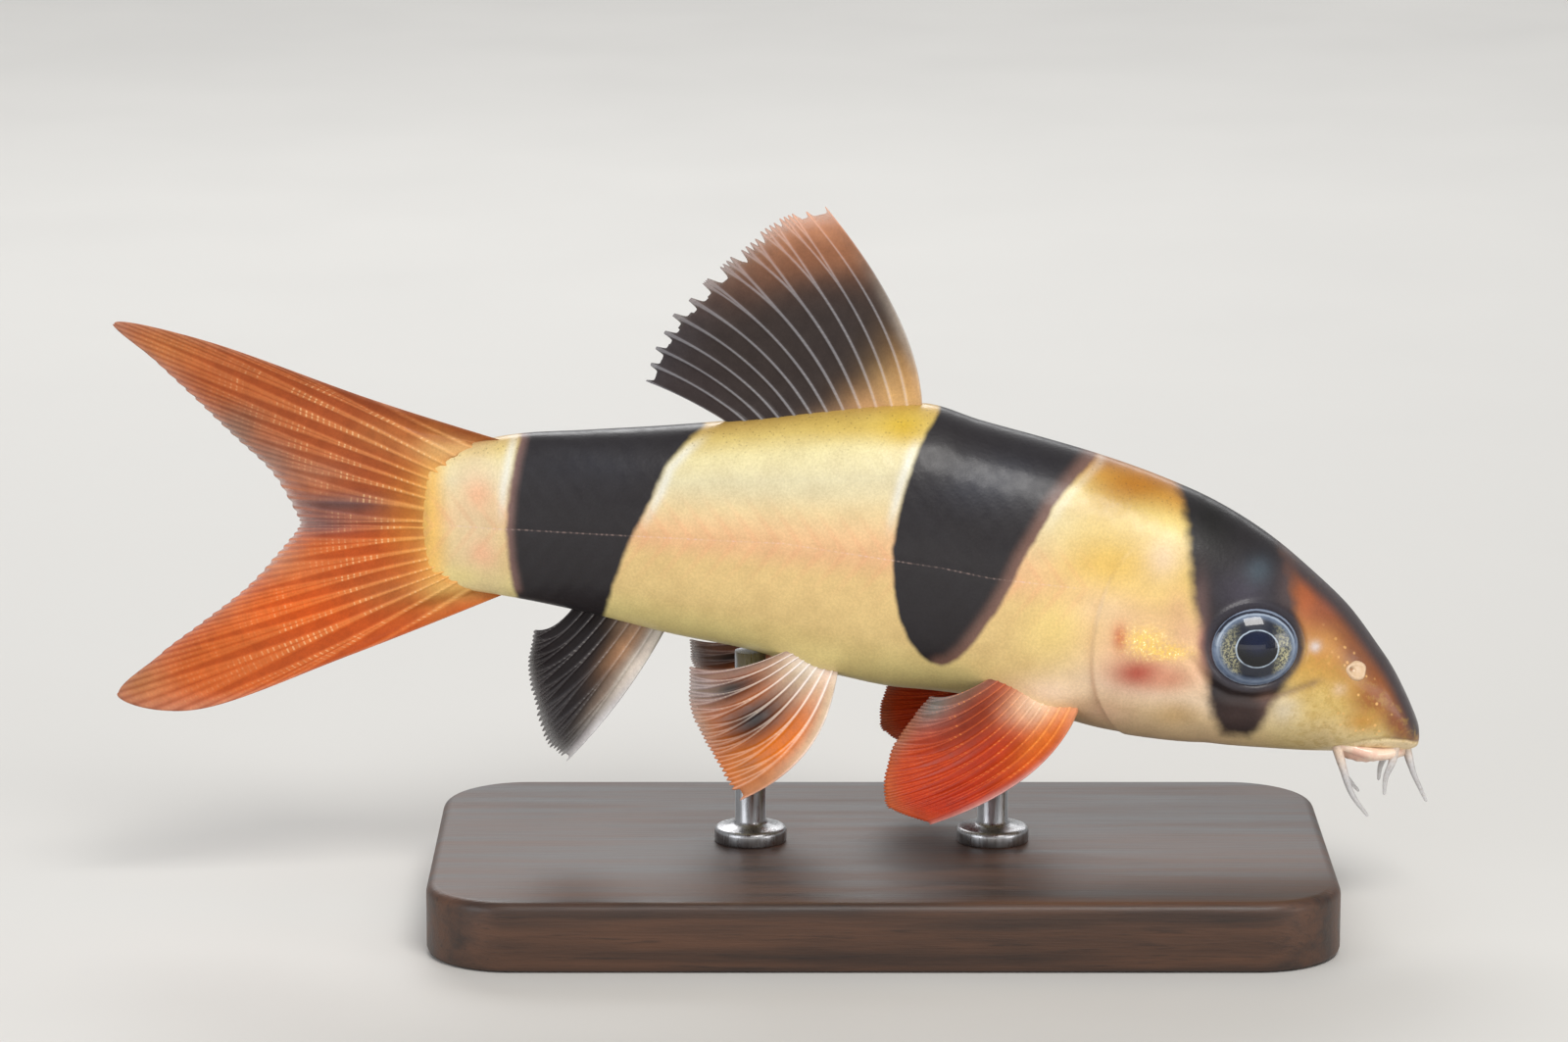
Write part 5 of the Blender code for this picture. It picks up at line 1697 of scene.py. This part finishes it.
# %% Light
SKY_COLOUR, SKY_STRENGTH = (0.86, 0.87, 0.88, 1.0), 0.46
# Name, place, aim and size in mm, watts, colour
LIGHTS = [
    ("key", (90, -260, 330), (0, 0, 20), (180, 140), 1.04, (1.0, 0.98, 0.95)),
    ("fill", (-300, -260, 120), (0, 0, 20), (220, 220), 0.45, (0.93, 0.96, 1.0)),
    ("front", (330, -230, 70), (15, 0, 16), (160, 160), 0.3, WHITE),
    ("low", (40, -330, 24), (0, 0, 12), (300, 60), 0.06, (1.0, 0.97, 0.9)),
    ("backdrop", (0, 560, 300), (0, 400, 0), (800, 200), 1.1, WHITE),
    ("rim", (-60, 280, 240), (0, 0, 24), (260, 120), 0.4, WHITE),
]
for name, place_mm, aim_mm, size_mm, watts, colour in LIGHTS:
    light = bpy.data.lights.new(name, "AREA")
    light.shape = "RECTANGLE"
    light.size, light.size_y = size_mm[0] * MM, size_mm[1] * MM
    light.energy = watts
    light.color = colour
    lamp = bpy.data.objects.new(name, light)
    lamp.location = Vector(place_mm) * MM
    lamp.rotation_euler = (Vector(aim_mm) - Vector(place_mm)).to_track_quat("-Z", "Y").to_euler()
    bpy.context.scene.collection.objects.link(lamp)

world = bpy.data.worlds.new("studio")
world.use_nodes = True
sky = world.node_tree.nodes["Background"]
sky.inputs["Color"].default_value = SKY_COLOUR
sky.inputs["Strength"].default_value = SKY_STRENGTH
bpy.context.scene.world = world
print("lights", len(LIGHTS))

# %% [markdown]
# The floor is plain and pale, with a tone that changes very slowly, as a paper sweep in a studio does. It
# lies a hair below the stand, since two faces at one height would flicker into each other.

# %% Floor
FLOOR_HALF = 1.5
FLOOR_GAP = 0.05


def floor_finish():
    finish = Finish("pale_floor")
    tone = finish.noise(30.0, 3.0)
    finish.wear(
        Base_Color=finish.blend(tone, srgb(204, 202, 198), srgb(212, 210, 206)),
        Roughness=finish.eased(tone, 0.2, 0.8, 0.6, 0.75),
    )
    return finish.material


sheet = bmesh.new()
bmesh.ops.create_grid(sheet, x_segments=8, y_segments=8, size=FLOOR_HALF)
floor_mesh = bpy.data.meshes.new("floor")
sheet.to_mesh(floor_mesh)
sheet.free()
floor = bpy.data.objects.new("floor", floor_mesh)
floor.location.z = -FLOOR_GAP * MM
bpy.context.scene.collection.objects.link(floor)
floor.data.materials.append(floor_finish())
print("floor", 2 * FLOOR_HALF, "m wide")

# %% [markdown]
# The camera stands where the photograph was taken from: 12 degrees above the side view and 350 mm away.
# The lens follows from that distance and from how many millimetres a pixel of the photograph covers at the
# fish. A longer lens from further off would flatten the stand and the paired fins.

# %% Camera
VIEW_UP = math.radians(12)
VIEW_DISTANCE = 350.0
MM_PER_PIXEL = 0.0565
PICTURE = (1600, 1063)
VIEW_MIDDLE_X = -5.65
# The photograph's row of the fish's lowest fin tip, and that tip's height over the floor in mm
LOWEST_PIXEL, LOWEST_HEIGHT = 843, 5.0
aim_height = LOWEST_HEIGHT + (LOWEST_PIXEL - PICTURE[1] / 2) * MM_PER_PIXEL / math.cos(VIEW_UP)
aim = Vector((VIEW_MIDDLE_X, 0.0, aim_height))
back_off = Vector((0.0, -math.cos(VIEW_UP), math.sin(VIEW_UP))) * VIEW_DISTANCE
lens = bpy.data.cameras.new("camera")
lens.sensor_width = 36.0
lens.lens = VIEW_DISTANCE / (PICTURE[0] * MM_PER_PIXEL) * lens.sensor_width
lens.clip_start = 0.01
camera = bpy.data.objects.new("camera", lens)
camera.location = (aim + back_off) * MM
camera.rotation_euler = (-back_off).to_track_quat("-Z", "Y").to_euler()
bpy.context.scene.collection.objects.link(camera)
bpy.context.scene.camera = camera
bpy.context.scene.view_settings.view_transform = "Standard"
print("camera", [round(v, 4) for v in camera.location], "lens", round(lens.lens, 1))

# %% [markdown]
# The last step brings the scene up to date.

# %% Update the scene
bpy.context.view_layer.update()
